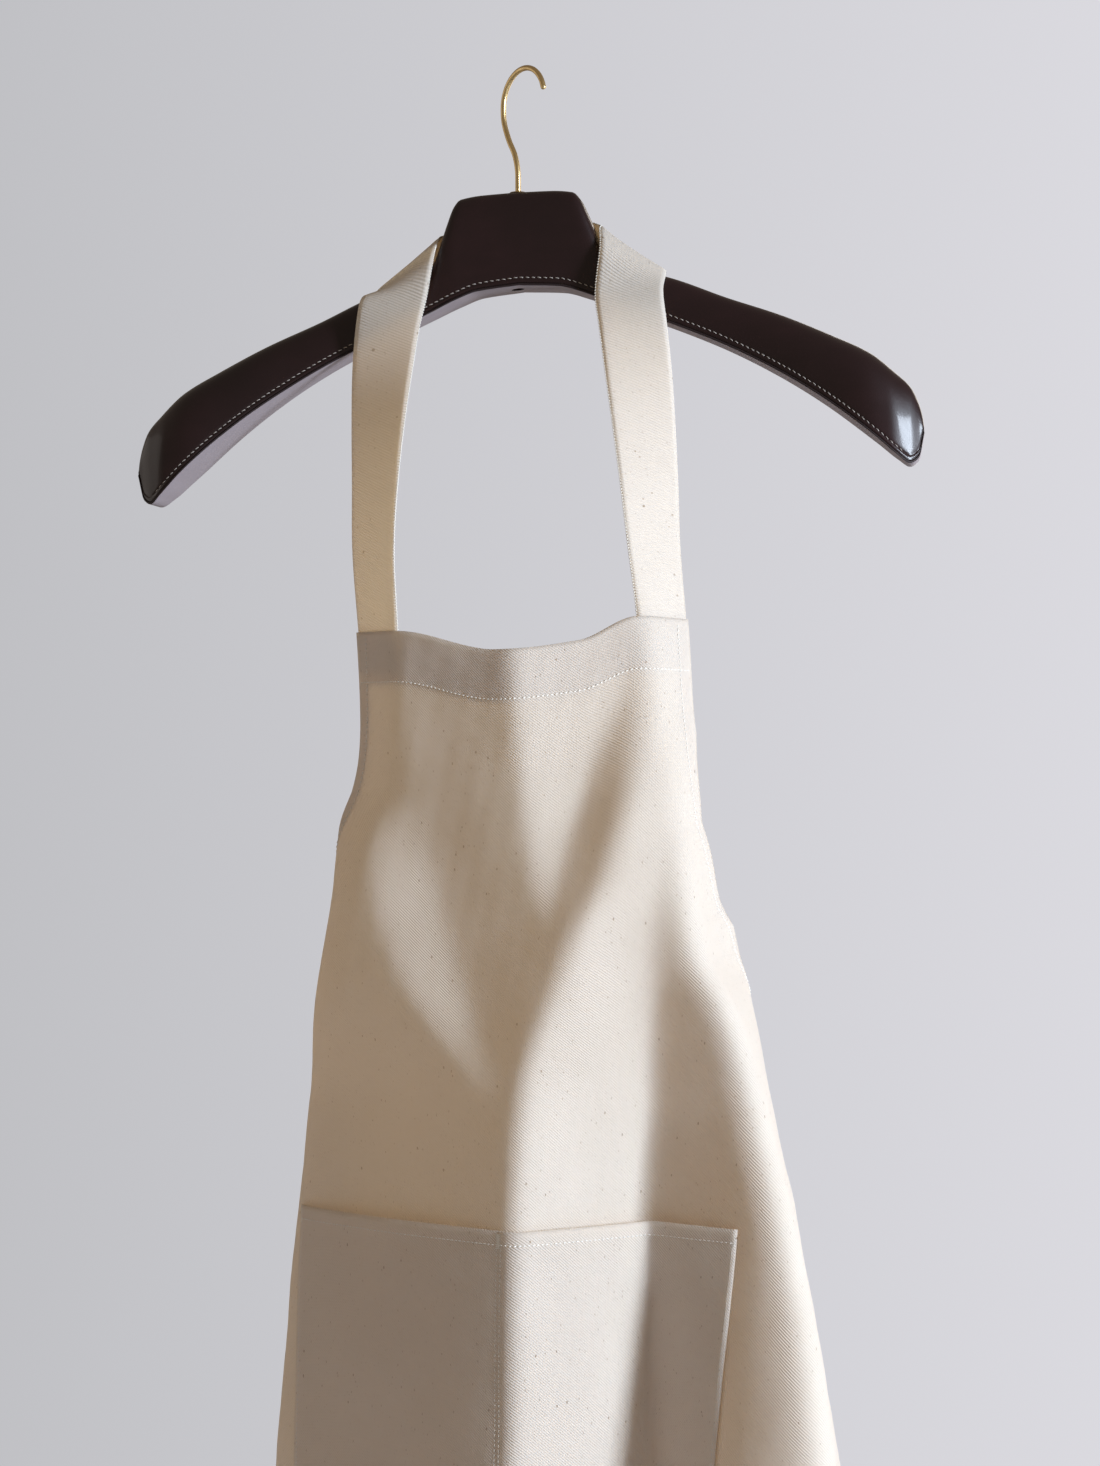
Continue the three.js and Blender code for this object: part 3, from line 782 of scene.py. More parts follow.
@dataclass(frozen=True)
class BeechFinish:
    """Plain sanded beech with short darker rays."""

    name: str
    pale: tuple[float, float, float] = (0.62, 0.44, 0.27)
    ray: tuple[float, float, float] = (0.40, 0.24, 0.13)

    def material(self) -> bpy.types.Material:
        """Builds the grain and its rays.

        Returns:
            The material.
        """
        g = Graph(self.name)
        grain = g.noise(g.place((0.06, 1, 1), flat=False), 420, 4.0)
        rays = g.noise(g.place((0.18, 1, 1), flat=False), 1300, 1.0)
        colour = g.blend(grain * 0.8 + (rays > 0.63) * 0.45 - 0.2, self.pale, self.ray)
        wood = g.node("ShaderNodeBsdfPrincipled", None, {
            "Base Color": colour, "Roughness": grain * 0.2 + 0.5, "Normal": g.bump(grain, 0.0001, 0.5)})
        return g.finish(wood.outputs[0])


@dataclass(frozen=True)
class ThreadFinish:
    """Twisted sewing thread."""

    name: str
    colour: tuple[float, float, float]
    shade: tuple[float, float, float]

    def material(self) -> bpy.types.Material:
        """Builds the twist and its fuzz.

        Returns:
            The material.
        """
        g = Graph(self.name)
        twist = g.noise(g.place((1, 1, 1), flat=False), 3500, 2.0)
        fuzz = g.noise(g.place((1, 1, 1), flat=False), 700, 2.0)
        colour = g.blend(twist * 0.7 + fuzz * 0.4 - 0.3, self.colour, self.shade)
        yarn = g.node("ShaderNodeBsdfPrincipled", None, {
            "Base Color": colour, "Roughness": 0.75, "Sheen Weight": 0.2,
            "Normal": g.bump(twist, 0.0001, 0.6)})
        return g.finish(yarn.outputs[0])


@dataclass
class Wardrobe:
    """Every finish, made once, and the way a piece is dressed and hung on its body."""

    made: dict[Slot, bpy.types.Material] = field(default_factory=dict)

    def __post_init__(self) -> None:
        """Builds every slot's material."""
        finishes = {
            Slot.BRASS: BrassFinish("satin_brass"),
            Slot.BEECH: BeechFinish("sanded_beech"),
            Slot.LEATHER: LeatherFinish("oxblood_leather", (0.0100, 0.0044, 0.0048),
                                        (0.030, 0.0095, 0.0108), 0.36, 0.25),
            Slot.SOLE: LeatherFinish("mauve_sole_leather", (0.27, 0.235, 0.255),
                                     (0.19, 0.16, 0.175), 0.6, 0.0, 1500.0, (0.02, 0.0115, 0.012)),
            Slot.THREAD: ThreadFinish("waxed_thread", (0.36, 0.32, 0.29), (0.20, 0.165, 0.14)),
            Slot.CANVAS: CanvasFinish("natural_twill"),
            Slot.CANVAS_THREAD: ThreadFinish("cotton_thread", (0.88, 0.84, 0.77), (0.66, 0.60, 0.51)),
        }
        self.made = {slot: finish.material() for slot, finish in finishes.items()}

    def dress(self, obj: bpy.types.Object, slot: Slot) -> bpy.types.Object:
        """Gives a piece its finish.

        Args:
            obj: the piece.
            slot: the slot whose finish it takes.

        Returns:
            The same piece.
        """
        obj.data.materials.clear()
        obj.data.materials.append(self.made[slot])
        log.info("%s: %d faces", obj.name, len(obj.data.polygons))
        return obj

    def hang(self, obj: bpy.types.Object, slot: Slot, body: Body, *nodes: str) -> bpy.types.Object:
        """Dresses a piece, lets it ride on a body, and hides the frame's nodes it stands for.

        Args:
            obj: the piece.
            slot: the slot whose finish it takes.
            body: the body it rides on.
            nodes: the nodes it stands for.

        Returns:
            The same piece.
        """
        self.dress(obj, slot)
        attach(obj, body.value)
        if nodes:
            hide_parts(*nodes)
        return obj


# ------------------------------------------------------------------ hook


@dataclass
class Hook:
    """The drawn brass hook with its threaded stem."""

    wire: float = 1.6
    bend: float = 18.5
    tip_angle: float = 13.0
    stem_end: float = -122.5
    thread_top: float = -108.0
    thread_pitch: float = 0.8

    def route(self) -> np.ndarray:
        """The wire's centre line in the hook's plane, from the tip down to the stem's end.

        Returns:
            (count, 3) points.
        """
        radius = self.bend + self.wire
        turn = np.radians(np.linspace(self.tip_angle, 180.0, 11))
        arc = np.stack([radius * np.cos(turn), radius * np.sin(turn) - self.bend], axis=1)
        below = [(-19.2, -27), (-14.5, -38), (-8.5, -48), (-5.9, -57), (-STEM_SHIFT, -66),
                 (-STEM_SHIFT, -85), (-STEM_SHIFT, -104), (-STEM_SHIFT, self.stem_end)]
        flat = np.concatenate([arc, np.array(below)])
        rows = np.stack([flat[:, 0], np.zeros(len(flat)), flat[:, 1]], axis=1)[:, None]
        return spline(rows, 0.4)[:, 0]

    def build(self, wardrobe: Wardrobe) -> None:
        """Makes the wire with its rounded tip and its thread.

        Args:
            wardrobe: the finishes.
        """
        line = self.route()
        along = np.concatenate([[0], np.cumsum(np.linalg.norm(np.diff(line, axis=0), axis=1))])
        from_end = np.minimum(along, along[-1] - along)
        round_off = np.sqrt(np.clip(1 - (1 - np.clip(from_end / self.wire, 0, 1)) ** 2, 0.02, 1))
        ridge = 0.16 * np.sin(2 * math.pi * line[:, 2] / self.thread_pitch)
        cut = np.where(line[:, 2] < self.thread_top, ridge - 0.16, 0.0)
        surface = tube(line, self.wire * round_off + cut, np.array([0.0, 1.0, 0.0]), 20)
        x, y = surface.points[:, 0].copy(), surface.points[:, 1].copy()
        surface.points[:, 0] = x * math.cos(HOOK_TURN) - y * math.sin(HOOK_TURN)
        surface.points[:, 1] = x * math.sin(HOOK_TURN) + y * math.cos(HOOK_TURN)
        wardrobe.hang(surface.piece("brass_hook"), Slot.BRASS, Body.HOOK, "hook")


@dataclass
class StemFastening:
    """The bush in the block, and the washer and nut that hold the stem below it."""

    bore: float = 1.9
    bush_radius: float = 3.0
    bush_top: float = -74.0
    bush_end: float = -114.0
    washer_radius: float = 3.9
    washer_top: float = -115.0
    washer_depth: float = 1.0
    nut_flats: float = 3.2
    nut_depth: float = 2.8

    def ring(self, outer: float, low: float, high: float, bevel: float) -> list[tuple[float, float]]:
        """Section of a ring with bevelled outer corners."""
        return [(self.bore, low), (outer - bevel, low), (outer, low + bevel), (outer, high - bevel),
                (outer - bevel, high), (self.bore, high)]

    def nut(self, centre: np.ndarray) -> bpy.types.Object:
        """A hexagonal nut with bevelled edges and a round bore.

        Args:
            centre: the middle of its top in the row frame, in millimetres.

        Returns:
            The nut.
        """
        depth = self.nut_depth * MM
        middle = Vector(centre * MM) - Vector((0, 0, depth / 2))
        alone()
        bpy.ops.mesh.primitive_cylinder_add(vertices=6, radius=self.nut_flats * MM, depth=depth,
                                            location=middle)
        nut = bpy.context.object
        edit(nut)
        bpy.ops.mesh.bevel(offset=0.25 * MM, segments=2)
        bpy.ops.object.mode_set(mode="OBJECT")
        drill(nut, self.bore * MM, 3 * depth, middle, 40)
        return settle(nut, "brass_nut")

    def build(self, wardrobe: Wardrobe) -> None:
        """Makes the bush, the washer and the nut.

        Args:
            wardrobe: the finishes.
        """
        axis = hung_place(np.zeros(3))
        bush = turned("brass_bush", self.ring(self.bush_radius, self.bush_end, self.bush_top, 0.3), axis)
        wardrobe.hang(bush, Slot.BRASS, Body.HANGER, "hook_bush")
        low = self.washer_top - self.washer_depth
        washer = turned("brass_washer", self.ring(self.washer_radius, low, self.washer_top, 0.15), axis)
        wardrobe.hang(washer, Slot.BRASS, Body.HOOK, "hook_washer")
        nut = self.nut(axis + np.array([0, 0, low - GAP]))
        wardrobe.hang(nut, Slot.BRASS, Body.HOOK, "hook_nut")


# ------------------------------------------------------------------ hanger


@dataclass
class Hanger:
    """The shaped hanger: beech cores in a leather cover, closed below by a sole."""

    tip: float = 229.6
    leather: float = 1.6
    sole: float = 1.5
    lip: float = 0.8
    sweep: float = 0.0003
    hole: float = 3.7
    seam_height: float = 3.0
    top_keys: Keys = (
        (0, 0), (20, -0.4), (33, -2), (37, -6), (41, -15), (45, -25), (50, -37), (58, -45), (70, -49.5),
        (90, -56), (120, -69), (150, -81), (180, -95.5), (201, -107), (215, -119.5), (223, -128),
        (227, -137), (229, -145), (229.6, -151))
    bottom_keys: Keys = (
        (0, -55.5), (24, -57.5), (38, -62), (52, -68), (94, -86), (120, -98.5), (150, -116),
        (175, -133.5), (202, -156), (214, -167), (221, -172), (226, -169), (229.6, -155))
    depth_keys: Keys = (
        (0, 27), (36, 27), (50, 25), (90, 24), (130, 28), (170, 38), (195, 43), (210, 37), (220, 25),
        (229.6, 8))
    box_keys: Keys = ((0, 0.35), (40, 0.4), (60, 0.7), (229.6, 0.8))
    stitch: StitchStyle = StitchStyle(pitch=3.5, length=2.3, radius=0.28, slant=0.4)

    def __post_init__(self) -> None:
        """Makes the outline's curves."""
        self.top, self.bottom = Curve(self.top_keys), Curve(self.bottom_keys)
        self.depth, self.box = Curve(self.depth_keys), Curve(self.box_keys)

    def stations(self) -> np.ndarray:
        """Distances from the middle, close together at the block and at the tips.

        Returns:
            The distances, from the left tip to the right one.
        """
        ease = np.sin(np.linspace(0, math.pi / 2, 26))[1:]
        right = np.concatenate([np.arange(0, 70, 1.5), np.arange(70, 200, 2.5), [200],
                                200 + (self.tip - 200) * ease])
        return np.concatenate([-right[:0:-1], right])

    def arch(self, x: np.ndarray, inset: float, floor: float) -> np.ndarray:
        """Half-round sections over the flat underside.

        Args:
            x: distances from the middle.
            inset: how far the section lies inside the leather's outer face.
            floor: height of its foot over the underside.

        Returns:
            (stations, points, 3) in the hanger's own frame, from the back's foot over to the front's.
        """
        near = np.array([0, 0.012, 0.024, 0.036, 0.05, 0.065, 0.08, 0.1, 0.13])
        turn = np.concatenate([near, np.linspace(0.17, math.pi - 0.17, 45), math.pi - near[::-1]])
        at = np.abs(x) * self.tip / (self.tip - inset)
        power = 2 / self.box(at)[:, None]
        reach = (np.abs(np.cos(turn)) ** power + np.abs(np.sin(turn)) ** power) ** (-1 / power)
        low = self.bottom(np.abs(x)) + floor
        height = np.maximum(self.top(at) - inset - low, 1.0)
        height[[0, -1]] = 0.05
        half = np.maximum(self.depth(at) / 2 - inset, 1.5)
        up = reach * np.sin(turn) * height[:, None]
        bead = 0.3 * np.exp(-(((up - 1.1) / 0.8) ** 2))
        bead = bead - 0.4 * np.exp(-(((up - self.seam_height) / 0.55) ** 2))
        wide = half[:, None] + (bead if inset == 0 else 0)
        y = reach * np.cos(turn) * wide - self.sweep * x[:, None] ** 2
        return np.stack([np.broadcast_to(x[:, None], y.shape), y, low[:, None] + up], axis=-1)

    def cover(self) -> bpy.types.Object:
        """The leather cover, open below, with a beaded seam and a hole for the stem.

        Returns:
            The cover.
        """
        x = self.stations()
        outer = self.arch(x, 0, self.sole + GAP)
        inner = self.arch(x * (self.tip - self.leather) / self.tip, self.leather, self.sole + GAP)
        cover = closed_sheet(hanger_place(outer), hanger_place(inner)).piece("leather_arms")
        self.pierce(cover, StemFastening.bush_radius + GAP, -90, -60)
        return cover

    def pierce(self, obj: bpy.types.Object, radius: float, low: float, high: float) -> None:
        """Cuts a round hole on the stem's axis and shades the piece smooth again.

        Args:
            obj: the piece to cut.
            radius: the hole's radius.
            low: the cutter's foot.
            high: the cutter's top.
        """
        middle = hung_place(np.array([0, 0, (low + high) / 2])) * MM
        drill(obj, radius * MM, (high - low) * MM, middle, 48)
        choose(obj)
        bpy.ops.object.shade_smooth_by_angle(angle=math.radians(40))

    def underside(self) -> bpy.types.Object:
        """The sole: a strip with rounded edges that closes the underside, with the nut's access hole.

        Returns:
            The sole.
        """
        x = self.stations()
        turn = np.radians(np.linspace(-90, 90, 7))
        across = np.concatenate([np.cos(turn), -np.cos(turn)]) * self.sole / 2
        up = np.concatenate([np.sin(turn), np.sin(turn[::-1])]) * self.sole / 2 + self.sole / 2
        side = np.array([1] * 7 + [-1] * 7)
        half = self.depth(np.abs(x))[:, None] / 2 + self.lip - self.sole / 2
        y = side * half + across - self.sweep * x[:, None] ** 2
        z = self.bottom(np.abs(x))[:, None] + up
        rings = np.stack([np.broadcast_to(x[:, None], y.shape), y, z], axis=-1)
        surface = lofted(hanger_place(rings))
        below = np.where(up > 0, 0.0, 1 / MM)
        surface.flat = np.stack([np.zeros(y.shape), np.broadcast_to(below, y.shape)], axis=-1).reshape(-1, 2)
        sole = surface.piece("sole_strip")
        self.pierce(sole, self.hole, -150, -110)
        return sole

    def seam(self, side: int) -> Surface:
        """Saddle stitches along one lower edge.

        Args:
            side: -1 in front, 1 behind.

        Returns:
            The stitches.
        """
        x = self.stations()
        x = x[np.abs(x) <= 218]
        y = side * (self.depth(np.abs(x)) / 2 - 0.12) - self.sweep * x**2
        z = self.bottom(np.abs(x)) + self.sole + GAP + self.seam_height
        out = np.stack([0 * x, side + 0 * x, 0.15 + 0 * x], axis=1)
        return self.stitch.row(hanger_place(np.stack([x, y, z], axis=1)), unit(out))

    def dowel(self, name: str, y: float) -> bpy.types.Object:
        """A beech dowel with bevelled ends across the block's joint.

        Args:
            name: the piece's name.
            y: how far it lies behind the hanger's middle.

        Returns:
            The dowel.
        """
        x = np.array([-15, -14.4, 14.4, 15.0])
        line = hanger_place(np.stack([x, 0 * x + y, 0 * x - 31], axis=1))
        body = tube(line, np.array([1.7, 2.2, 2.2, 1.7]), np.array([0.0, 1.0, 0.0]), 28)
        return settle(body.piece(name), name)

    def build(self, wardrobe: Wardrobe, nodes: dict[str, bpy.types.Object]) -> bpy.types.Object:
        """Makes and dresses the hanger's pieces.

        Args:
            wardrobe: the finishes.
            nodes: the frame's nodes.

        Returns:
            The leather cover, which the neck strap rests on.
        """
        for name in ("core_left", "core_right"):
            wardrobe.dress(nodes[name], Slot.BEECH)
        for name, y in (("front", -7.6), ("back", 7.6)):
            dowel = self.dowel(f"beech_dowel_{name}", y)
            wardrobe.hang(dowel, Slot.BEECH, Body.HANGER, f"dowel_{name}")
        cover = wardrobe.hang(self.cover(), Slot.LEATHER, Body.HANGER, "leather_cover")
        wardrobe.hang(self.underside(), Slot.SOLE, Body.HANGER, "leather_sole")
        for name, side in (("front", -1), ("back", 1)):
            row = self.seam(side).piece(f"saddle_stitches_{name}")
            wardrobe.hang(row, Slot.THREAD, Body.HANGER, f"seam_thread_{name}")
        section = [(2.1, 0.35), (4.7, 0.35), (5.0, 0.6), (4.7, 0.95), (3.4, 1.15), (2.3, 0.95)]
        eyelet = turned("brass_eyelet", section, hung_place(np.array([0, 0, BLOCK_TOP])))
        wardrobe.hang(eyelet, Slot.BRASS, Body.HANGER, "hook_eyelet")
        return cover


# ------------------------------------------------------------------ cloth


@dataclass(frozen=True)
class Fold:
    """A fold that turns the cloth's direction: all three lists are by height."""

    side: Side
    at: Keys
    turn: Keys
    spread: Keys


FOLDS = (
    Fold(Side.LEFT, ((-326, -76), (-400, -80), (-500, -110), (-560, -140)),
         ((-326, 27), (-400, 34), (-500, 10), (-560, 0)), ((-326, 12), (-560, 30))),
    Fold(Side.LEFT, ((-326, -125), (-400, -135), (-478, -118), (-596, -144), (-673, -156), (-814, -168),
                     (-1185, -190)),
         ((-326, 0), (-400, 12), (-478, 60), (-596, 66), (-1185, 60)),
         ((-326, 25), (-478, 20), (-1185, 32))),
    Fold(Side.LEFT, ((-540, -230), (-596, -245), (-1185, -275)), ((-500, 0), (-596, 75), (-1185, 60)),
         ((-540, 50), (-1185, 60))),
    # the bib's middle ridge, and the hollow beside it
    Fold(Side.RIGHT, ((-326, 0), (-400, 6), (-454, 14), (-490, 24)),
         ((-326, 38), (-400, 40), (-454, 36), (-505, 0)), ((-326, 9), (-490, 12))),
    Fold(Side.RIGHT, ((-326, 70), (-370, 62), (-410, 45), (-454, 32), (-490, 27)),
         ((-326, -4), (-370, -22), (-454, -34), (-505, 0)), ((-326, 16), (-490, 10))),
    # the long crease that runs in from the right and down the skirt's middle
    Fold(Side.RIGHT, ((-326, 84), (-400, 75), (-454, 60), (-519, 33), (-590, 8), (-673, 5), (-1185, 5)),
         ((-326, 4), (-370, 24), (-454, 42), (-519, 50), (-673, 68), (-814, 70), (-1185, 56)),
         ((-326, 14), (-454, 14), (-590, 9), (-1185, 16))),
    # a shallow flute in the bib's left half
    Fold(Side.RIGHT, ((-440, -88), (-480, -80), (-519, -66), (-585, -22)),
         ((-420, 0), (-480, 20), (-530, 22), (-595, 0)), ((-440, 14), (-585, 12))),
    Fold(Side.RIGHT, ((-440, -52), (-480, -44), (-519, -30), (-585, -4)),
         ((-420, 0), (-480, -20), (-530, -22), (-595, 0)), ((-440, 14), (-585, 10))),
    # the right strap's end, the hollow below it, the rounded side and the wing behind
    Fold(Side.RIGHT, ((-326, 76), (-400, 88), (-478, 110)), ((-326, 32), (-400, 30), (-500, 0)),
         ((-326, 12), (-478, 20))),
    Fold(Side.RIGHT, ((-440, 92), (-519, 88), (-673, 92), (-1185, 105)),
         ((-440, 0), (-500, -38), (-540, -50), (-596, -58), (-673, -69), (-814, -89), (-1185, -60)),
         ((-440, 16), (-596, 10), (-1185, 25))),
    Fold(Side.RIGHT, ((-650, 158), (-1185, 170)), ((-650, 0), (-760, 25), (-814, 32), (-1185, 25)),
         ((-650, 16), (-1185, 36))),
    Fold(Side.RIGHT, ((-440, 99), (-478, 104), (-513, 112), (-540, 129), (-596, 152), (-673, 182),
                      (-740, 203), (-814, 219), (-1185, 280)),
         ((-390, 0), (-440, 30), (-490, 84), (-540, 108), (-596, 116), (-673, 122), (-740, 114),
          (-814, 108), (-1185, 95)),
         ((-440, 14), (-540, 17), (-740, 23), (-1185, 54))),
    Fold(Side.RIGHT, ((-520, 215), (-596, 250), (-814, 310), (-1185, 340)),
         ((-500, 0), (-596, 60), (-1185, 40)), ((-540, 45), (-1185, 50))),
)


@dataclass
class HungCloth:
    """The apron's cloth as it hangs: at every height a curve seen from above, turned by its folds."""

    top: float = -326.0
    waist: float = -596.0
    hem: float = -1185.0
    bib_half: float = 113.0
    skirt_half: float = 350.0
    facing_keys: Keys = ((-326, -18), (-454, -21), (-673, -29), (-1185, -26))
    middle_x: Keys = ((-326, 4), (-478, 5), (-596, 8), (-1185, 8))
    middle_y: Keys = ((-326, -54), (-400, -61), (-478, -72), (-596, -92), (-673, -102), (-814, -112),
                      (-1185, -124))
    sag_keys: Keys = ((-113, -1), (-75, -1), (-10, -12.5), (40, -7), (75, 7), (113, 6))
    level_keys: Keys = ((-326, 1), (-420, 0.7), (-600, 0))
    crispness: float = 0.55

    def __post_init__(self) -> None:
        """Makes the curves and an empty store of rows."""
        self.facing = Curve(self.facing_keys)
        self.mid_x, self.mid_y = Curve(self.middle_x), Curve(self.middle_y)
        self.sag, self.level = Curve(self.sag_keys), Curve(self.level_keys)
        self.folds = [(f.side.value, Curve(f.at), Curve(f.turn), Curve(f.spread)) for f in FOLDS]
        self.rows: dict[float, tuple[np.ndarray, ...]] = {}

    def half_width(self, z: np.ndarray | float) -> np.ndarray:
        """Half the cloth's width: the bib, the armhole's curve and the skirt."""
        t = np.clip((self.top - np.asarray(z, float)) / (self.top - self.waist), 0, 1)
        return self.bib_half + (self.skirt_half - self.bib_half) * t**3

    def angle(self, s: np.ndarray, z: float) -> np.ndarray:
        """The cloth's direction in radians from +X, at distances along it.

        Args:
            s: distances along the cloth.
            z: the height.

        Returns:
            The direction at each distance.
        """
        total = np.full(len(s), float(self.facing(z)))
        for side, at, turn, spread in self.folds:
            tight = self.crispness * spread(z)
            total += side * turn(z) * 0.5 * (1 + np.tanh(side * (s - at(z)) / tight))
        return np.radians(total)

    def ripple(self, s: np.ndarray, z: float) -> np.ndarray:
        """Small unevenness of handled cotton, and puckers beside the band's seam.

        Args:
            s: distances along the cloth.
            z: the height.

        Returns:
            How far the cloth stands out at each distance.
        """
        turn = 2 * math.pi
        wide = 0.45 * np.sin(turn * (s / 97 + z / 260) + 0.4) * np.sin(turn * (z / 143 - s / 301) + 1.1)
        mid = 0.22 * np.sin(turn * (s / 53 - z / 118) + 2.0) * np.sin(turn * (z / 71 + s / 190))
        fine = 0.07 * np.sin(turn * (s / 19 + z / 43)) * np.sin(turn * (z / 27 - s / 61) + 0.7)
        pucker = 0.035 * math.exp(-(((z + 356) / 6) ** 2)) * np.sin(turn * s / 7.5 + 1.4 * np.sin(s / 13))
        edge = smooth_step(0, 30, self.half_width(z) - np.abs(s))
        return (wide + mid + fine) * (0.35 + 0.65 * edge) + pucker

    def row(self, z: float) -> tuple[np.ndarray, ...]:
        """Distances along the cloth at a height, with x, y and direction at each.

        Args:
            z: the height.

        Returns:
            Distances, x, y and direction, one of each per millimetre.
        """
        if z not in self.rows:
            reach = math.ceil(float(self.half_width(z))) + 2
            s = np.arange(-reach, reach + 1, 1.0)
            turn = self.angle(s[:-1] + 0.5, z)
            x = np.concatenate([[0], np.cumsum(np.cos(turn))])
            y = np.concatenate([[0], np.cumsum(np.sin(turn))])
            x += float(self.mid_x(z)) - x[reach]
            y += float(self.mid_y(z)) - y[reach]
            self.rows[z] = (s, x, y, self.angle(s, z))
        return self.rows[z]

    def grid(self, z: np.ndarray, s: np.ndarray, offset: np.ndarray | float) -> np.ndarray:
        """Points of a layer of cloth, among what hangs plumb.

        Args:
            z: heights of the rows.
            s: (rows, columns) distances along the cloth.
            offset: how far the layer stands out of the cloth's middle, one number or one each.

        Returns:
            (rows, columns, 3) points.
        """
        points, _ = self.grid_and_out(z, s, offset)
        return points

    def grid_and_out(self, z: np.ndarray, s: np.ndarray, offset: np.ndarray | float
                     ) -> tuple[np.ndarray, np.ndarray]:
        """Like grid, with the direction that faces out at each point.

        Args:
            z: heights of the rows.
            s: (rows, columns) distances along the cloth.
            offset: how far the layer stands out of the cloth's middle.

        Returns:
            The points and the directions, both (rows, columns, 3).
        """
        offset = np.broadcast_to(offset, s.shape)
        points, outs = np.zeros((*s.shape, 3)), np.zeros((*s.shape, 3))
        for r, height in enumerate(z):
            at, x, y, turn = self.row(float(height))
            angle = np.interp(s[r], at, turn)
            out = np.stack([np.sin(angle), -np.cos(angle), 0 * angle], axis=1)
            drop = self.sag(s[r]) * self.level(height)
            base = np.stack([np.interp(s[r], at, x), np.interp(s[r], at, y), height + drop], axis=1)
            lift = offset[r] + self.ripple(s[r], float(height))
            points[r] = base + out * lift[:, None]
            outs[r] = out
        return points, outs


class Cut(Enum):
    """Which part of the panel's columns a layer of cloth covers."""

    WHOLE = "whole"
    LEFT_EDGE = "left_edge"
    RIGHT_EDGE = "right_edge"


@dataclass
class ApronBody:
    """The panel with its facings and hems, and the divided pocket."""

    cloth: HungCloth
    band: float = 31.0
    edge: float = 12.0
    hem: float = 20.0
    panel_depth: float = 0.9
    facing_depth: float = 0.75
    strap_depth: float = 1.2
    pocket_top: float = -660.0
    pocket_end: float = -903.0
    pocket_half: float = 150.0
    pocket_bulge: float = 4.5
    pocket_hem: float = 8.5
    divider: float = -3.0
    stitch: StitchStyle = StitchStyle(pitch=2.7, length=2.0, radius=0.34)

    def heights(self, top: float, end: float, step: float) -> np.ndarray:
        """Rows between two heights."""
        return np.linspace(top, end, max(2, round((top - end) / step) + 1))

    def columns(self, z: np.ndarray, cut: Cut) -> np.ndarray:
        """Distances along the cloth of every column, the edge's own columns included.

        Args:
            z: heights of the rows.
            cut: which columns are wanted.

        Returns:
            (rows, columns) distances.
        """
        half = self.cloth.half_width(z)[:, None]
        inner = np.linspace(-1, 1, 167) * (half - self.edge)
        strip = np.linspace(0, self.edge, 6)
        if cut is Cut.LEFT_EDGE:
            return -half + strip
        if cut is Cut.RIGHT_EDGE:
            return half - strip[::-1]
        return np.concatenate([-half + strip[:-1], inner, half - strip[:-1][::-1]], axis=1)

    def layer(self, name: str, z: np.ndarray, s: np.ndarray, outer: np.ndarray | float,
              depth: np.ndarray | float) -> bpy.types.Object:
        """A closed layer of cloth from its outer face inwards.

        Args:
            name: the piece's name.
            z: heights of the rows.
            s: (rows, columns) distances along the cloth.
            outer: how far its outer face stands out of the cloth's middle.
            depth: its thickness.

        Returns:
            The layer.
        """
        front = hung_place(self.cloth.grid(z, s, outer))
        back = hung_place(self.cloth.grid(z, s, np.asarray(outer) - depth))
        flat = np.stack([s, np.broadcast_to(z[:, None], s.shape)], axis=-1)
        return closed_sheet(front, back, flat).piece(name)

    def panel_rows(self) -> np.ndarray:
        """The panel's rows: close at the band, even below it.

        Returns:
            The heights.
        """
        band = self.heights(self.cloth.top, self.cloth.top - self.band, 2.6)
        rest = self.heights(self.cloth.top - self.band, self.cloth.hem, 4.2)
        return np.concatenate([band, rest[1:]])

    def pocket(self) -> bpy.types.Object:
        """The pocket: sewn at its sides, its foot and the divider, thicker at its turned hem.

        Returns:
            The pocket.
        """
        z = self.heights(self.pocket_top, self.pocket_end, 3.0)
        s = np.broadcast_to(np.linspace(-self.pocket_half, self.pocket_half, 121), (len(z), 121))
        left, right = self.pocket_half + self.divider, self.pocket_half - self.divider
        share = np.where(s < self.divider, (self.divider - s) / left, (s - self.divider) / right)
        down = ((self.pocket_top - z) / (self.pocket_top - self.pocket_end))[:, None]
        swell = np.sin(math.pi * np.clip(share, 0, 1)) ** 0.8 * (1 - down**1.6)
        turned_in = 0.45 * (1 - smooth_step(self.pocket_hem - 0.5, self.pocket_hem + 1.2,
                                            self.pocket_top - z))[:, None]
        sides = 0.3 * (1 - smooth_step(4, 7, self.pocket_half - np.abs(s)))
        sewn = 0.3 * np.exp(-(((s - self.divider) / 1.6) ** 2))
        pucker = 0.03 * np.exp(-(((self.pocket_top - z[:, None] - 9) / 5) ** 2)) * np.sin(s * 0.62)
        base = self.panel_depth / 2 + GAP + self.facing_depth + self.pocket_bulge * swell
        outer = base + np.maximum(turned_in, sides) - sewn + pucker
        return self.layer("patch_pocket", z, s, outer, outer - base + self.facing_depth)

    def seam(self, z: np.ndarray, s: np.ndarray, outer: float | np.ndarray) -> Surface:
        """A row of machine stitches along the cloth, by heights and distances."""
        points, outs = self.cloth.grid_and_out(z, s[:, None], np.broadcast_to(outer, z.shape)[:, None])
        return self.stitch.row(hung_place(points[:, 0]), outs[:, 0])

    def level_seam(self, z: float, reach: float, outer: float) -> Surface:
        """A row of stitches at one height, out to a distance on both sides.

        Args:
            z: its height.
            reach: how far it goes to each side.
            outer: how far the sewn face stands out of the cloth's middle.

        Returns:
            The stitches.
        """
        s = np.linspace(-reach, reach, 160)[None]
        points, outs = self.cloth.grid_and_out(np.array([z]), s, outer)
        return self.stitch.row(hung_place(points[0]), outs[0])

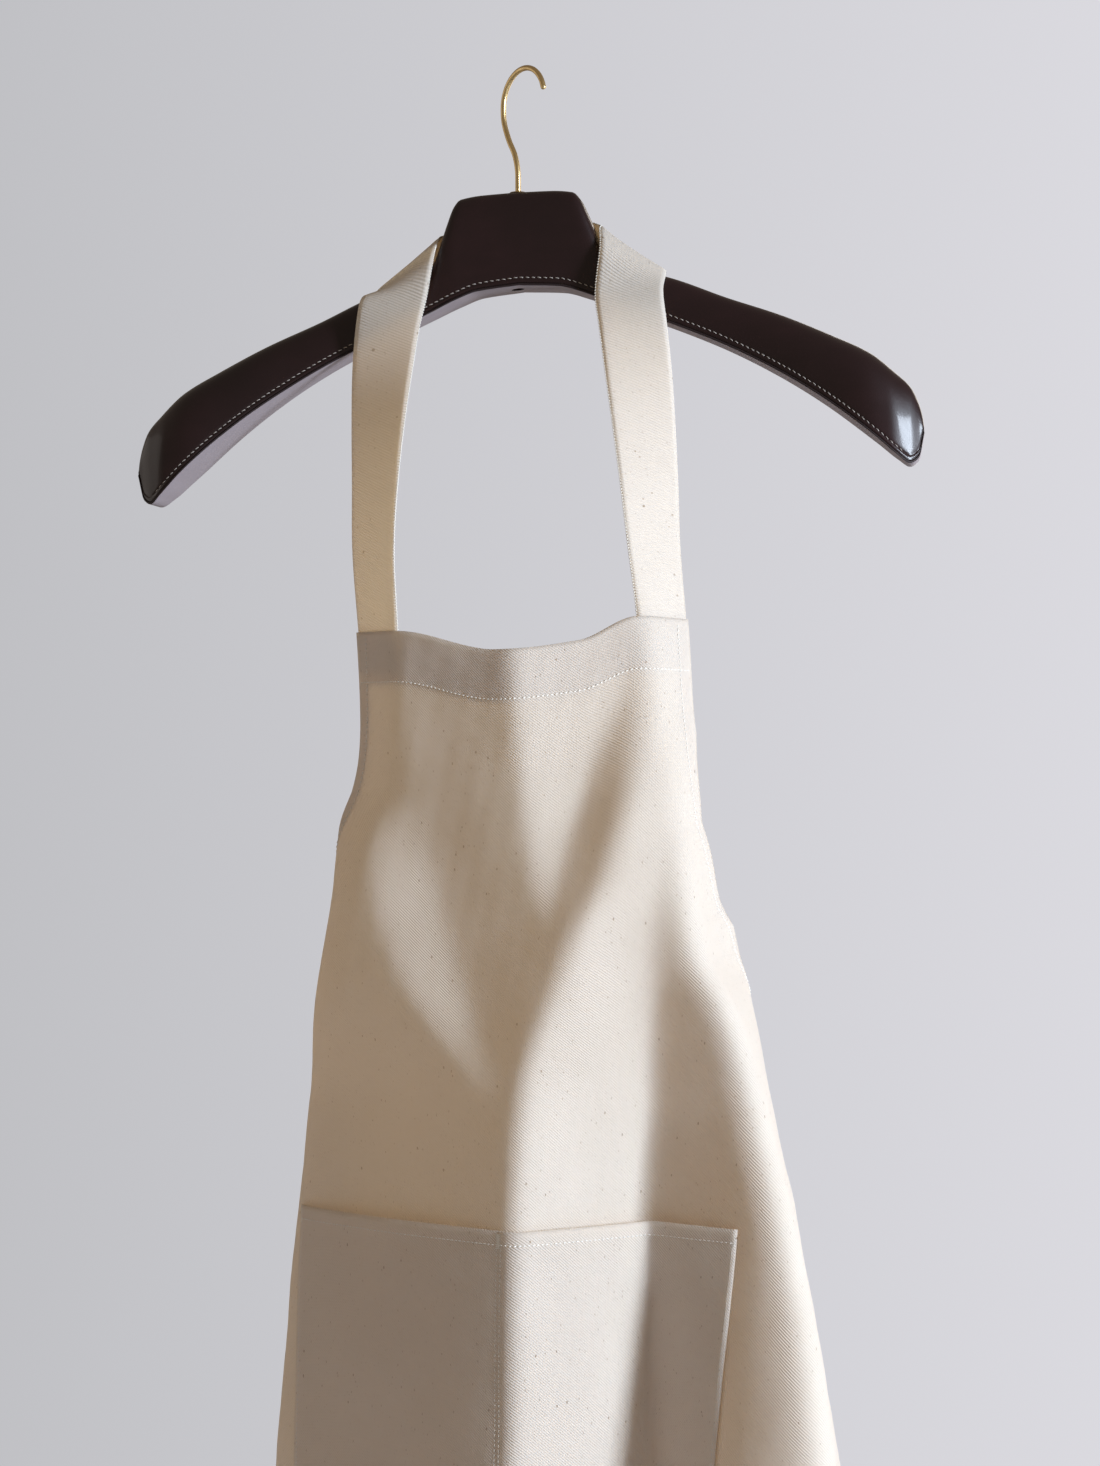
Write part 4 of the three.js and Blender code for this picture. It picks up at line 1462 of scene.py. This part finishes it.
    def stitches(self) -> dict[str, Surface]:
        """All machine seams, by name.

        Returns:
            The rows of stitches.
        """
        c, face = self.cloth, self.panel_depth / 2
        arm = self.heights(c.top - 3, c.waist, 4)
        skirt = self.heights(c.waist, c.hem + 2, 6)
        pocket = self.heights(self.pocket_top - 1, self.pocket_end + 1, 4)
        inset = self.edge - 2.5
        on_pocket = face + GAP + self.facing_depth
        rows = {
            "band_seam": self.level_seam(c.top - self.band + 1.5, c.bib_half - 1.5, face),
            "hem_seam": self.level_seam(c.hem + self.hem - 2, c.skirt_half - 2, face),
            "pocket_foot_seam": self.level_seam(self.pocket_end + 2, self.pocket_half - 2, on_pocket),
        }
        for side in Side:
            edge = side.value * (c.half_width(arm) - inset)
            rows[f"armhole_seam_{side.name.lower()}"] = self.seam(arm, edge, face)
            edge = side.value * (c.half_width(skirt) - inset)
            rows[f"side_hem_seam_{side.name.lower()}"] = self.seam(skirt, edge, face)
            edge = np.full(len(pocket), side.value * (self.pocket_half - 2.2))
            rows[f"pocket_side_seam_{side.name.lower()}"] = self.seam(pocket, edge, on_pocket + 0.3)
        for name, at in (("left", -1.3), ("right", 1.3)):
            s = np.full(len(pocket), self.divider + at)
            rows[f"divider_seam_{name}"] = self.seam(pocket, s, on_pocket - 0.1)
        return rows

    def pocket_hem_seam(self) -> Surface:
        """The row of stitches that holds the pocket's turned hem.

        Returns:
            The stitches.
        """
        z = self.pocket_top - self.pocket_hem + 1
        s = np.linspace(-self.pocket_half + 2, self.pocket_half - 2, 200)
        left, right = self.pocket_half + self.divider, self.pocket_half - self.divider
        share = np.where(s < self.divider, (self.divider - s) / left, (s - self.divider) / right)
        swell = np.sin(math.pi * np.clip(share, 0, 1)) ** 0.8
        outer = self.panel_depth / 2 + GAP + self.facing_depth + self.pocket_bulge * swell + 0.3
        points, outs = self.cloth.grid_and_out(np.array([z]), s[None], outer[None])
        return self.stitch.row(hung_place(points[0]), outs[0])

    def tack(self, s: float, width: float) -> Surface:
        """A bar tack: tight zigzag stitches over a short upright stretch.

        Args:
            s: its distance along the cloth.
            width: its width.

        Returns:
            The thread.
        """
        z = self.heights(self.pocket_top - 1.5, self.pocket_top - 9.5, 0.5)
        outer = self.panel_depth / 2 + GAP + self.facing_depth + 0.45
        sway = s + width / 2 * np.where(np.arange(len(z)) % 2, 1, -1)
        points, outs = self.cloth.grid_and_out(z, sway[:, None], outer)
        line = hung_place(points[:, 0])
        fine = np.array([np.interp(np.arange(0, len(line) - 0.99, 0.25), np.arange(len(line)), line[:, k])
                         for k in range(3)]).T
        return tube(fine, np.full(len(fine), 0.24), outs[0, 0], 6)

    def build(self, wardrobe: Wardrobe) -> None:
        """Makes and dresses the apron's own pieces.

        Args:
            wardrobe: the finishes.
        """
        c, face = self.cloth, self.panel_depth / 2
        behind = -face - GAP
        z = self.panel_rows()
        panel = self.layer("bib_and_skirt", z, self.columns(z, Cut.WHOLE), face, self.panel_depth)
        wardrobe.hang(panel, Slot.CANVAS, Body.APRON, "apron_panel")

        z = self.heights(c.top, c.top - self.band, 2.6)
        facing = self.layer("band_facing", z, self.columns(z, Cut.WHOLE), behind - self.strap_depth - GAP,
                            self.facing_depth)
        wardrobe.hang(facing, Slot.CANVAS, Body.APRON, "bib_top_facing")
        for side, cut in ((Side.LEFT, Cut.LEFT_EDGE), (Side.RIGHT, Cut.RIGHT_EDGE)):
            name = side.name.lower()
            z = self.heights(c.top - self.band, c.waist, 4)
            strip = self.layer(f"armhole_hem_{name}", z, self.columns(z, cut), behind, self.facing_depth)
            wardrobe.hang(strip, Slot.CANVAS, Body.APRON, f"armhole_facing_{name}")
            z = self.heights(c.waist - 0.5, c.hem + self.hem + 0.5, 5)
            strip = self.layer(f"side_hem_{name}", z, self.columns(z, cut), behind, self.facing_depth)
            wardrobe.hang(strip, Slot.CANVAS, Body.APRON)
        z = self.heights(c.hem + self.hem, c.hem, 4)
        strip = self.layer("skirt_hem", z, self.columns(z, Cut.WHOLE), behind, self.facing_depth)
        wardrobe.hang(strip, Slot.CANVAS, Body.APRON)
        for name, surface in self.stitches().items():
            row = wardrobe.hang(surface.piece(name), Slot.CANVAS_THREAD, Body.APRON)
            not name.startswith(("pocket", "divider"))
        pocket = wardrobe.hang(self.pocket(), Slot.CANVAS, Body.APRON, "pocket_panel")
        row = self.pocket_hem_seam().piece("pocket_hem_seam")
        wardrobe.hang(row, Slot.CANVAS_THREAD, Body.APRON)
        for name, s, width in (("left", -self.pocket_half + 1.8, 2.2), ("middle", self.divider, 3.4),
                               ("right", self.pocket_half - 1.8, 2.2)):
            tack = self.tack(s, width).piece(f"bar_tack_{name}")
            wardrobe.hang(tack, Slot.CANVAS_THREAD, Body.APRON, f"pocket_tack_{name}")
        width, length = 2 * c.skirt_half * MM, (c.top - c.hem) * MM
        bib = (c.top - c.waist) * (2 * c.bib_half + (c.skirt_half - c.bib_half) / 2) * MM**2
        area = bib + width * (c.waist - c.hem) * MM


# ------------------------------------------------------------------ straps and ties


def ribbon(rows: np.ndarray, depth: float, edge: float) -> tuple[Surface, np.ndarray]:
    """A strap of cloth through rows of points, its two edges thinned.

    Args:
        rows: (count, columns, 3) points of its middle surface.
        depth: its thickness.
        edge: the share of the thickness left at its edges.

    Returns:
        The closed surface, and the direction that faces out at every point.
    """
    along = np.gradient(rows, axis=0)
    across = np.gradient(rows, axis=1)
    out = unit(np.cross(along, across))
    columns = rows.shape[1]
    taper = np.ones(columns)
    taper[[0, -1]] = edge
    shift = out * (depth / 2) * taper[None, :, None]
    down = np.concatenate([[0], np.cumsum(np.linalg.norm(np.diff(rows.mean(axis=1), axis=0), axis=1))])
    wide = np.concatenate([[0], np.cumsum(np.linalg.norm(np.diff(rows.mean(axis=0), axis=0), axis=1))])
    flat = np.stack(np.broadcast_arrays(wide[None, :], down[:, None]), axis=-1)
    return closed_sheet(rows + shift, rows - shift, flat), out


@dataclass
class NeckStrap:
    """One strap from the bib's left corner, over both arms behind the block, to its right corner."""

    cloth: HungCloth
    width: float = 39.0
    depth: float = 1.2
    swing_z: float = -131.0
    sewn: float = 24.0
    bend: float = 22.0
    search: float = 10.0
    nearest: float = 8.0
    columns: int = 15
    left_rows: tuple[tuple[float, ...], ...] = (
        (-132.2, -70, -19.5, -3), (-150, -73, -23.5, -8), (-175, -76, -24, -16), (-205, -78.5, -24, -27),
        (-240, -80.5, -23.5, -36), (-280, -82, -21.5, -41))
    right_rows: tuple[tuple[float, ...], ...] = (
        (-132.2, 67.5, -19.5, 3), (-150, 70, -23, 7), (-175, 73, -23, 16), (-205, 76, -21.5, 27),
        (-240, 79, -19.5, 37), (-280, 82, -18, 46))
    loop_rows: tuple[tuple[tuple[float, float, float], ...], ...] = (
        ((-85.5, -11, -55), (-49, -16, -36)), ((-84, 2, -49.6), (-47.6, -4.5, -24)),
        ((-76, 14.2, -54), (-46.6, 11.5, -19.5)), ((-55, 17.8, -54), (-37, 18, -15)),
        ((-28, 18.4, -52.5), (-18, 18.4, -12.5)))
    selvedge: StitchStyle = StitchStyle(pitch=1.7, length=1.25, radius=0.42, slant=0.25)

    def leg(self, rows: tuple[tuple[float, ...], ...], side: Side) -> list[np.ndarray]:
        """Rows of a leg from its bib end up.

        Args:
            rows: height, x, y and direction in degrees of its middle, from the top down.
            side: left or right.

        Returns:
            The rows, each from the strap's outer edge to its inner one.
        """
        share = np.linspace(-1, 1, self.columns) * -side.value
        made = []
        strip = np.linspace(0, self.width, self.columns)
        s = side.value * (self.cloth.bib_half - strip)
        inside = -(0.45 + GAP + self.depth / 2)
        for z in (self.cloth.top - self.sewn, self.cloth.top - self.sewn / 2, self.cloth.top - 1):
            made.append(self.cloth.grid(np.array([z]), s[None], inside)[0])
        for z, x, y, turn in reversed(rows):
            angle = math.radians(turn)
            half = np.array([math.cos(angle), math.sin(angle), 0]) * self.width / 2
            made.append(np.array([x, y, z]) + share[:, None] * half)
        return made

    def rows(self) -> np.ndarray:
        """Every control row, from the left corner round to the right one.

        Returns:
            (rows, columns, 3) points, among what hangs plumb.
        """
        share = np.linspace(0, 1, self.columns)[:, None]

        def half_loop(mirror: int) -> list[np.ndarray]:
            """Rows over one arm.

            Args:
                mirror: 1 for the left arm, -1 for the right one.

            Returns:
                The rows, from the front to the middle of the back.
            """
            flip = np.array([mirror, 1, 1])
            ends = [(np.array(a) * flip, np.array(b) * flip) for a, b in self.loop_rows]
            return [hanger_to_hung(a + (b - a) * share) for a, b in ends]

        left = self.leg(self.left_rows, Side.LEFT)
        right = self.leg(self.right_rows, Side.RIGHT)
        return np.array([*left, *half_loop(1), *half_loop(-1)[::-1], *right[::-1]])

    def rest_on(self, rows: np.ndarray, arms: bpy.types.Object) -> np.ndarray:
        """Moves points that lie in or too near the arms out to the leather.

        Args:
            rows: the strap's points, among what hangs plumb.
            arms: the leather cover.

        Returns:
            The points in the row frame, in millimetres.
        """
        tree = BVHTree.FromPolygons([v.co for v in arms.data.vertices],
                                    [tuple(p.vertices) for p in arms.data.polygons])
        clear = (self.depth / 2 + GAP) * MM
        shape = rows.shape
        moved = hung_place(rows).reshape(-1, 3) * MM
        for i, point in enumerate(moved):
            spot, normal, _, far = tree.find_nearest(Vector(point), self.search * MM)
            if spot is None:
                continue
            depth = (Vector(point) - spot).dot(normal)
            if depth < clear and far < self.nearest * MM:
                moved[i] = spot + normal * clear
        return moved.reshape(shape) / MM

    def build(self, wardrobe: Wardrobe, arms: bpy.types.Object) -> None:
        """Makes the strap and the bound edge of its selvedge.

        Args:
            wardrobe: the finishes.
            arms: the leather cover it rests on.
        """
        rows = self.rest_on(spline(self.rows(), 3.0), arms)
        for _ in range(2):
            rows[1:-1] = (rows[:-2] + 2 * rows[1:-1] + rows[2:]) / 4
        surface, _ = ribbon(rows, self.depth, 0.55)
        strap = surface.piece("neck_strap")
        inner = rows[:, -1]
        towards = unit(rows[:, -1] - rows[:, -2])
        binding = self.selvedge.row(inner, towards).piece("strap_selvedge")
        for piece, slot in ((strap, Slot.CANVAS), (binding, Slot.CANVAS_THREAD)):
            wardrobe.dress(piece, slot)
            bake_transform(piece)
        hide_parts("neck_strap_loop", "neck_strap_left_leg", "neck_strap_right_leg")


@dataclass
class WaistTie:
    """A tie sewn behind a waist corner, hanging straight down behind the skirt."""

    cloth: HungCloth
    side: Side
    width: float = 25.0
    length: float = 560.0
    depth: float = 1.2
    inset: float = 14.0
    stand: float = 13.0
    lean: float = 0.02
    lap: float = 16.0
    behind: float = 3.2
    settling: float = 80.0
    bend: float = 50.0
    stitch: StitchStyle = StitchStyle(pitch=2.7, length=2.0, radius=0.34)

    def rows(self) -> np.ndarray:
        """Rows of the tie's middle surface, from its sewn top to its hem.

        Returns:
            (rows, columns, 3) points in the row frame.
        """
        corner = self.cloth.waist - 8
        s = self.side.value * (self.cloth.skirt_half - self.inset)
        at = np.array([[s]])
        (point,), = self.cloth.grid(np.array([corner]), at, 0.0)
        (sewn,), = self.cloth.grid(np.array([corner]), at, -self.behind)
        distances, _, _, turns = self.cloth.row(corner)
        cloth_turn = float(np.interp(s, distances, turns))
        cloth_turn = (cloth_turn + math.pi / 2) % math.pi - math.pi / 2
        share = np.linspace(-0.5, 0.5, 9) * self.width
        made = []
        for down in np.concatenate([np.linspace(-self.lap, 0, 5)[:-1], np.linspace(0, self.length, 113)]):
            free = float(smooth_step(0, self.settling, down))
            hang = point + np.array([0, self.stand - self.lean * down, 0])
            middle = sewn * (1 - free) + hang * free
            middle = middle + np.array([1.6 * math.sin(down / 70), 0.9 * math.sin(down / 55), 0]) * free
            middle[2] = corner - down
            turn = cloth_turn * (1 - free) + 0.09 * math.sin(down / 90) * free
            across = np.array([math.cos(turn), math.sin(turn), 0])
            curl = 0.8 * free * (share / self.width) ** 2 * 4
            made.append(middle + share[:, None] * across + curl[:, None] * np.array([0, 1, 0]))
        return hung_place(np.array(made))

    def build(self, wardrobe: Wardrobe) -> None:
        """Makes the tie, with rows of stitches along both its edges and one across near its foot.

        Args:
            wardrobe: the finishes.
        """
        name = self.side.name.lower()
        rows = self.rows()
        surface, out = ribbon(rows, self.depth, 0.6)
        tie = wardrobe.dress(surface.piece(f"tie_{name}_cloth"), Slot.CANVAS)
        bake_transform(tie)
        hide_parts(f"waist_tie_{name}")
        away = out * (self.depth / 2)
        face = rows + away
        seams = [self.stitch.row(face[:, k], out[:, k]) for k in (1, 7)]
        seams.append(self.stitch.row(face[-4, 1:-1], out[-4, 1:-1]))
        edges = wardrobe.dress(joined(seams).piece(f"tie_{name}_seams"), Slot.CANVAS_THREAD)
        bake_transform(edges)


# ------------------------------------------------------------------ studio


@dataclass
class Studio:
    """The camera, the soft side light, the pale surroundings and the floor."""

    azimuth: float = 8.0
    camera_place: tuple[float, float, float] = (0.2512, -1.6770, -0.386)
    lens: float = 71.4
    key_turn: float = 22.0
    key_distance: float = 2.4
    key_power: float = 103.0
    wall_power: float = 7.0
    fill_power: float = 10.0
    room_colour: tuple[float, float, float] = (1.0, 0.835, 0.68)
    room_strength: float = 0.262
    # painted shade on the backdrop's left side and painted light on its right side
    backdrop_painted_shade_left: tuple[float, float, float] = (0.43, 0.435, 0.45)
    backdrop_painted_light_right: tuple[float, float, float] = (0.80, 0.79, 0.84)
    floor_height: float = -1.36
    floor_radius: float = 1.7

    def camera(self) -> None:
        """A level camera, a little to the right of straight ahead."""
        data = bpy.data.cameras.new("camera")
        data.lens = self.lens
        data.sensor_width = 36.0
        camera = bpy.data.objects.new("camera", data)
        camera.location = self.camera_place
        camera.rotation_euler = (math.pi / 2, 0, math.radians(self.azimuth))
        bpy.context.scene.collection.objects.link(camera)
        bpy.context.scene.camera = camera

    def lamp(self, name: str, place: Vector, aim: Vector, size: tuple[float, float], power: float,
             colour: tuple[float, float, float]) -> None:
        """A soft rectangular light.

        Args:
            name: its name.
            place: where it stands.
            aim: the point it faces.
            size: its width and height in metres.
            power: its power in watts.
            colour: its colour.
        """
        data = bpy.data.lights.new(name, "AREA")
        data.shape = "RECTANGLE"
        data.size, data.size_y = size
        data.energy = power
        data.color = colour
        lamp = bpy.data.objects.new(name, data)
        lamp.location = place
        lamp.rotation_euler = (aim - place).to_track_quat("-Z", "Y").to_euler()
        bpy.context.scene.collection.objects.link(lamp)

    def surroundings(self) -> None:
        """Pale backdrop for the eye, with painted light: darker on the left and brighter on the right, as
        window light from the right falls on it. Dimmer and warmer as light.
        """
        world = bpy.data.worlds.new("studio")
        bpy.context.scene.world = world
        g = Graph("studio", world)
        path = g.node("ShaderNodeLightPath")
        where = g.node("ShaderNodeTexCoord").outputs["Generated"]
        axes = g.node("ShaderNodeSeparateXYZ", None, {0: where})
        # painted light on the backdrop: its colour runs from the painted shade on the left to the painted
        # light on the right
        level = g.node("ShaderNodeMath", {"operation": "MULTIPLY_ADD"}, {0: axes.outputs[0], 1: 1.3, 2: 0.68})
        stops = ((0.0, self.backdrop_painted_shade_left), (1.0, self.backdrop_painted_light_right))
        ramp = g.node("ShaderNodeValToRGB", {"stops": stops}, {0: level.outputs[0]})
        seen = g.node("ShaderNodeBackground", None, {0: ramp.outputs[0]})
        room = g.node("ShaderNodeBackground", None, {0: (*self.room_colour, 1.0), 1: self.room_strength})
        mix = g.node("ShaderNodeMixShader", None, {
            0: path.outputs["Is Camera Ray"], 1: room.outputs[0], 2: seen.outputs[0]})
        g.finish(mix.outputs[0], "World")

    def floor(self) -> None:
        """A round pale floor below the hem."""
        alone()
        bpy.ops.mesh.primitive_circle_add(vertices=96, radius=self.floor_radius, fill_type="NGON",
                                          location=(0, 0, self.floor_height))
        floor = settle(bpy.context.object, "floor")
        g = Graph("pale_floor")
        speck = g.noise(g.place((1, 1, 1), flat=False), 60, 3.0)
        colour = g.blend(speck, (0.62, 0.62, 0.63), (0.56, 0.56, 0.57))
        shade = g.node("ShaderNodeBsdfPrincipled", None, {"Base Color": colour, "Roughness": 0.8})
        floor.data.materials.append(g.finish(shade.outputs[0]))

    def build(self) -> None:
        """Sets the whole studio up."""
        scene = bpy.context.scene
        scene.view_settings.view_transform = "Standard"
        self.camera()
        self.surroundings()
        self.floor()
        aim = Vector((0.0, -0.05, -0.6))
        turn = math.radians(self.key_turn)
        place = aim + Vector((math.cos(turn), -math.sin(turn), 0.18)) * self.key_distance
        self.lamp("window", place, aim, (0.42, 1.3), self.key_power, (0.77, 0.87, 1.0))
        wall = aim + Vector((-2.2, 0.15, 0.2))
        self.lamp("wall_bounce", wall, aim, (1.6, 2.0), self.wall_power, (1.0, 0.95, 0.90))
        back = aim + Vector((0.75, 1.6, 0.5))
        self.lamp("back_fill", back, aim, (1.2, 1.2), self.fill_power, (1.0, 0.93, 0.84))


def main() -> None:
    """Loads the frame and builds every sub-assembly in order."""
    logging.basicConfig(level=logging.INFO, format="%(name)s %(message)s")
    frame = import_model()
    Studio().build()
    wardrobe = Wardrobe()
    Hook().build(wardrobe)
    StemFastening().build(wardrobe)
    arms = Hanger().build(wardrobe, frame["nodes"])
    cloth = HungCloth()
    ApronBody(cloth).build(wardrobe)
    NeckStrap(cloth).build(wardrobe, arms)
    for side in Side:
        WaistTie(cloth, side).build(wardrobe)


if __name__ == "__main__":
    main()
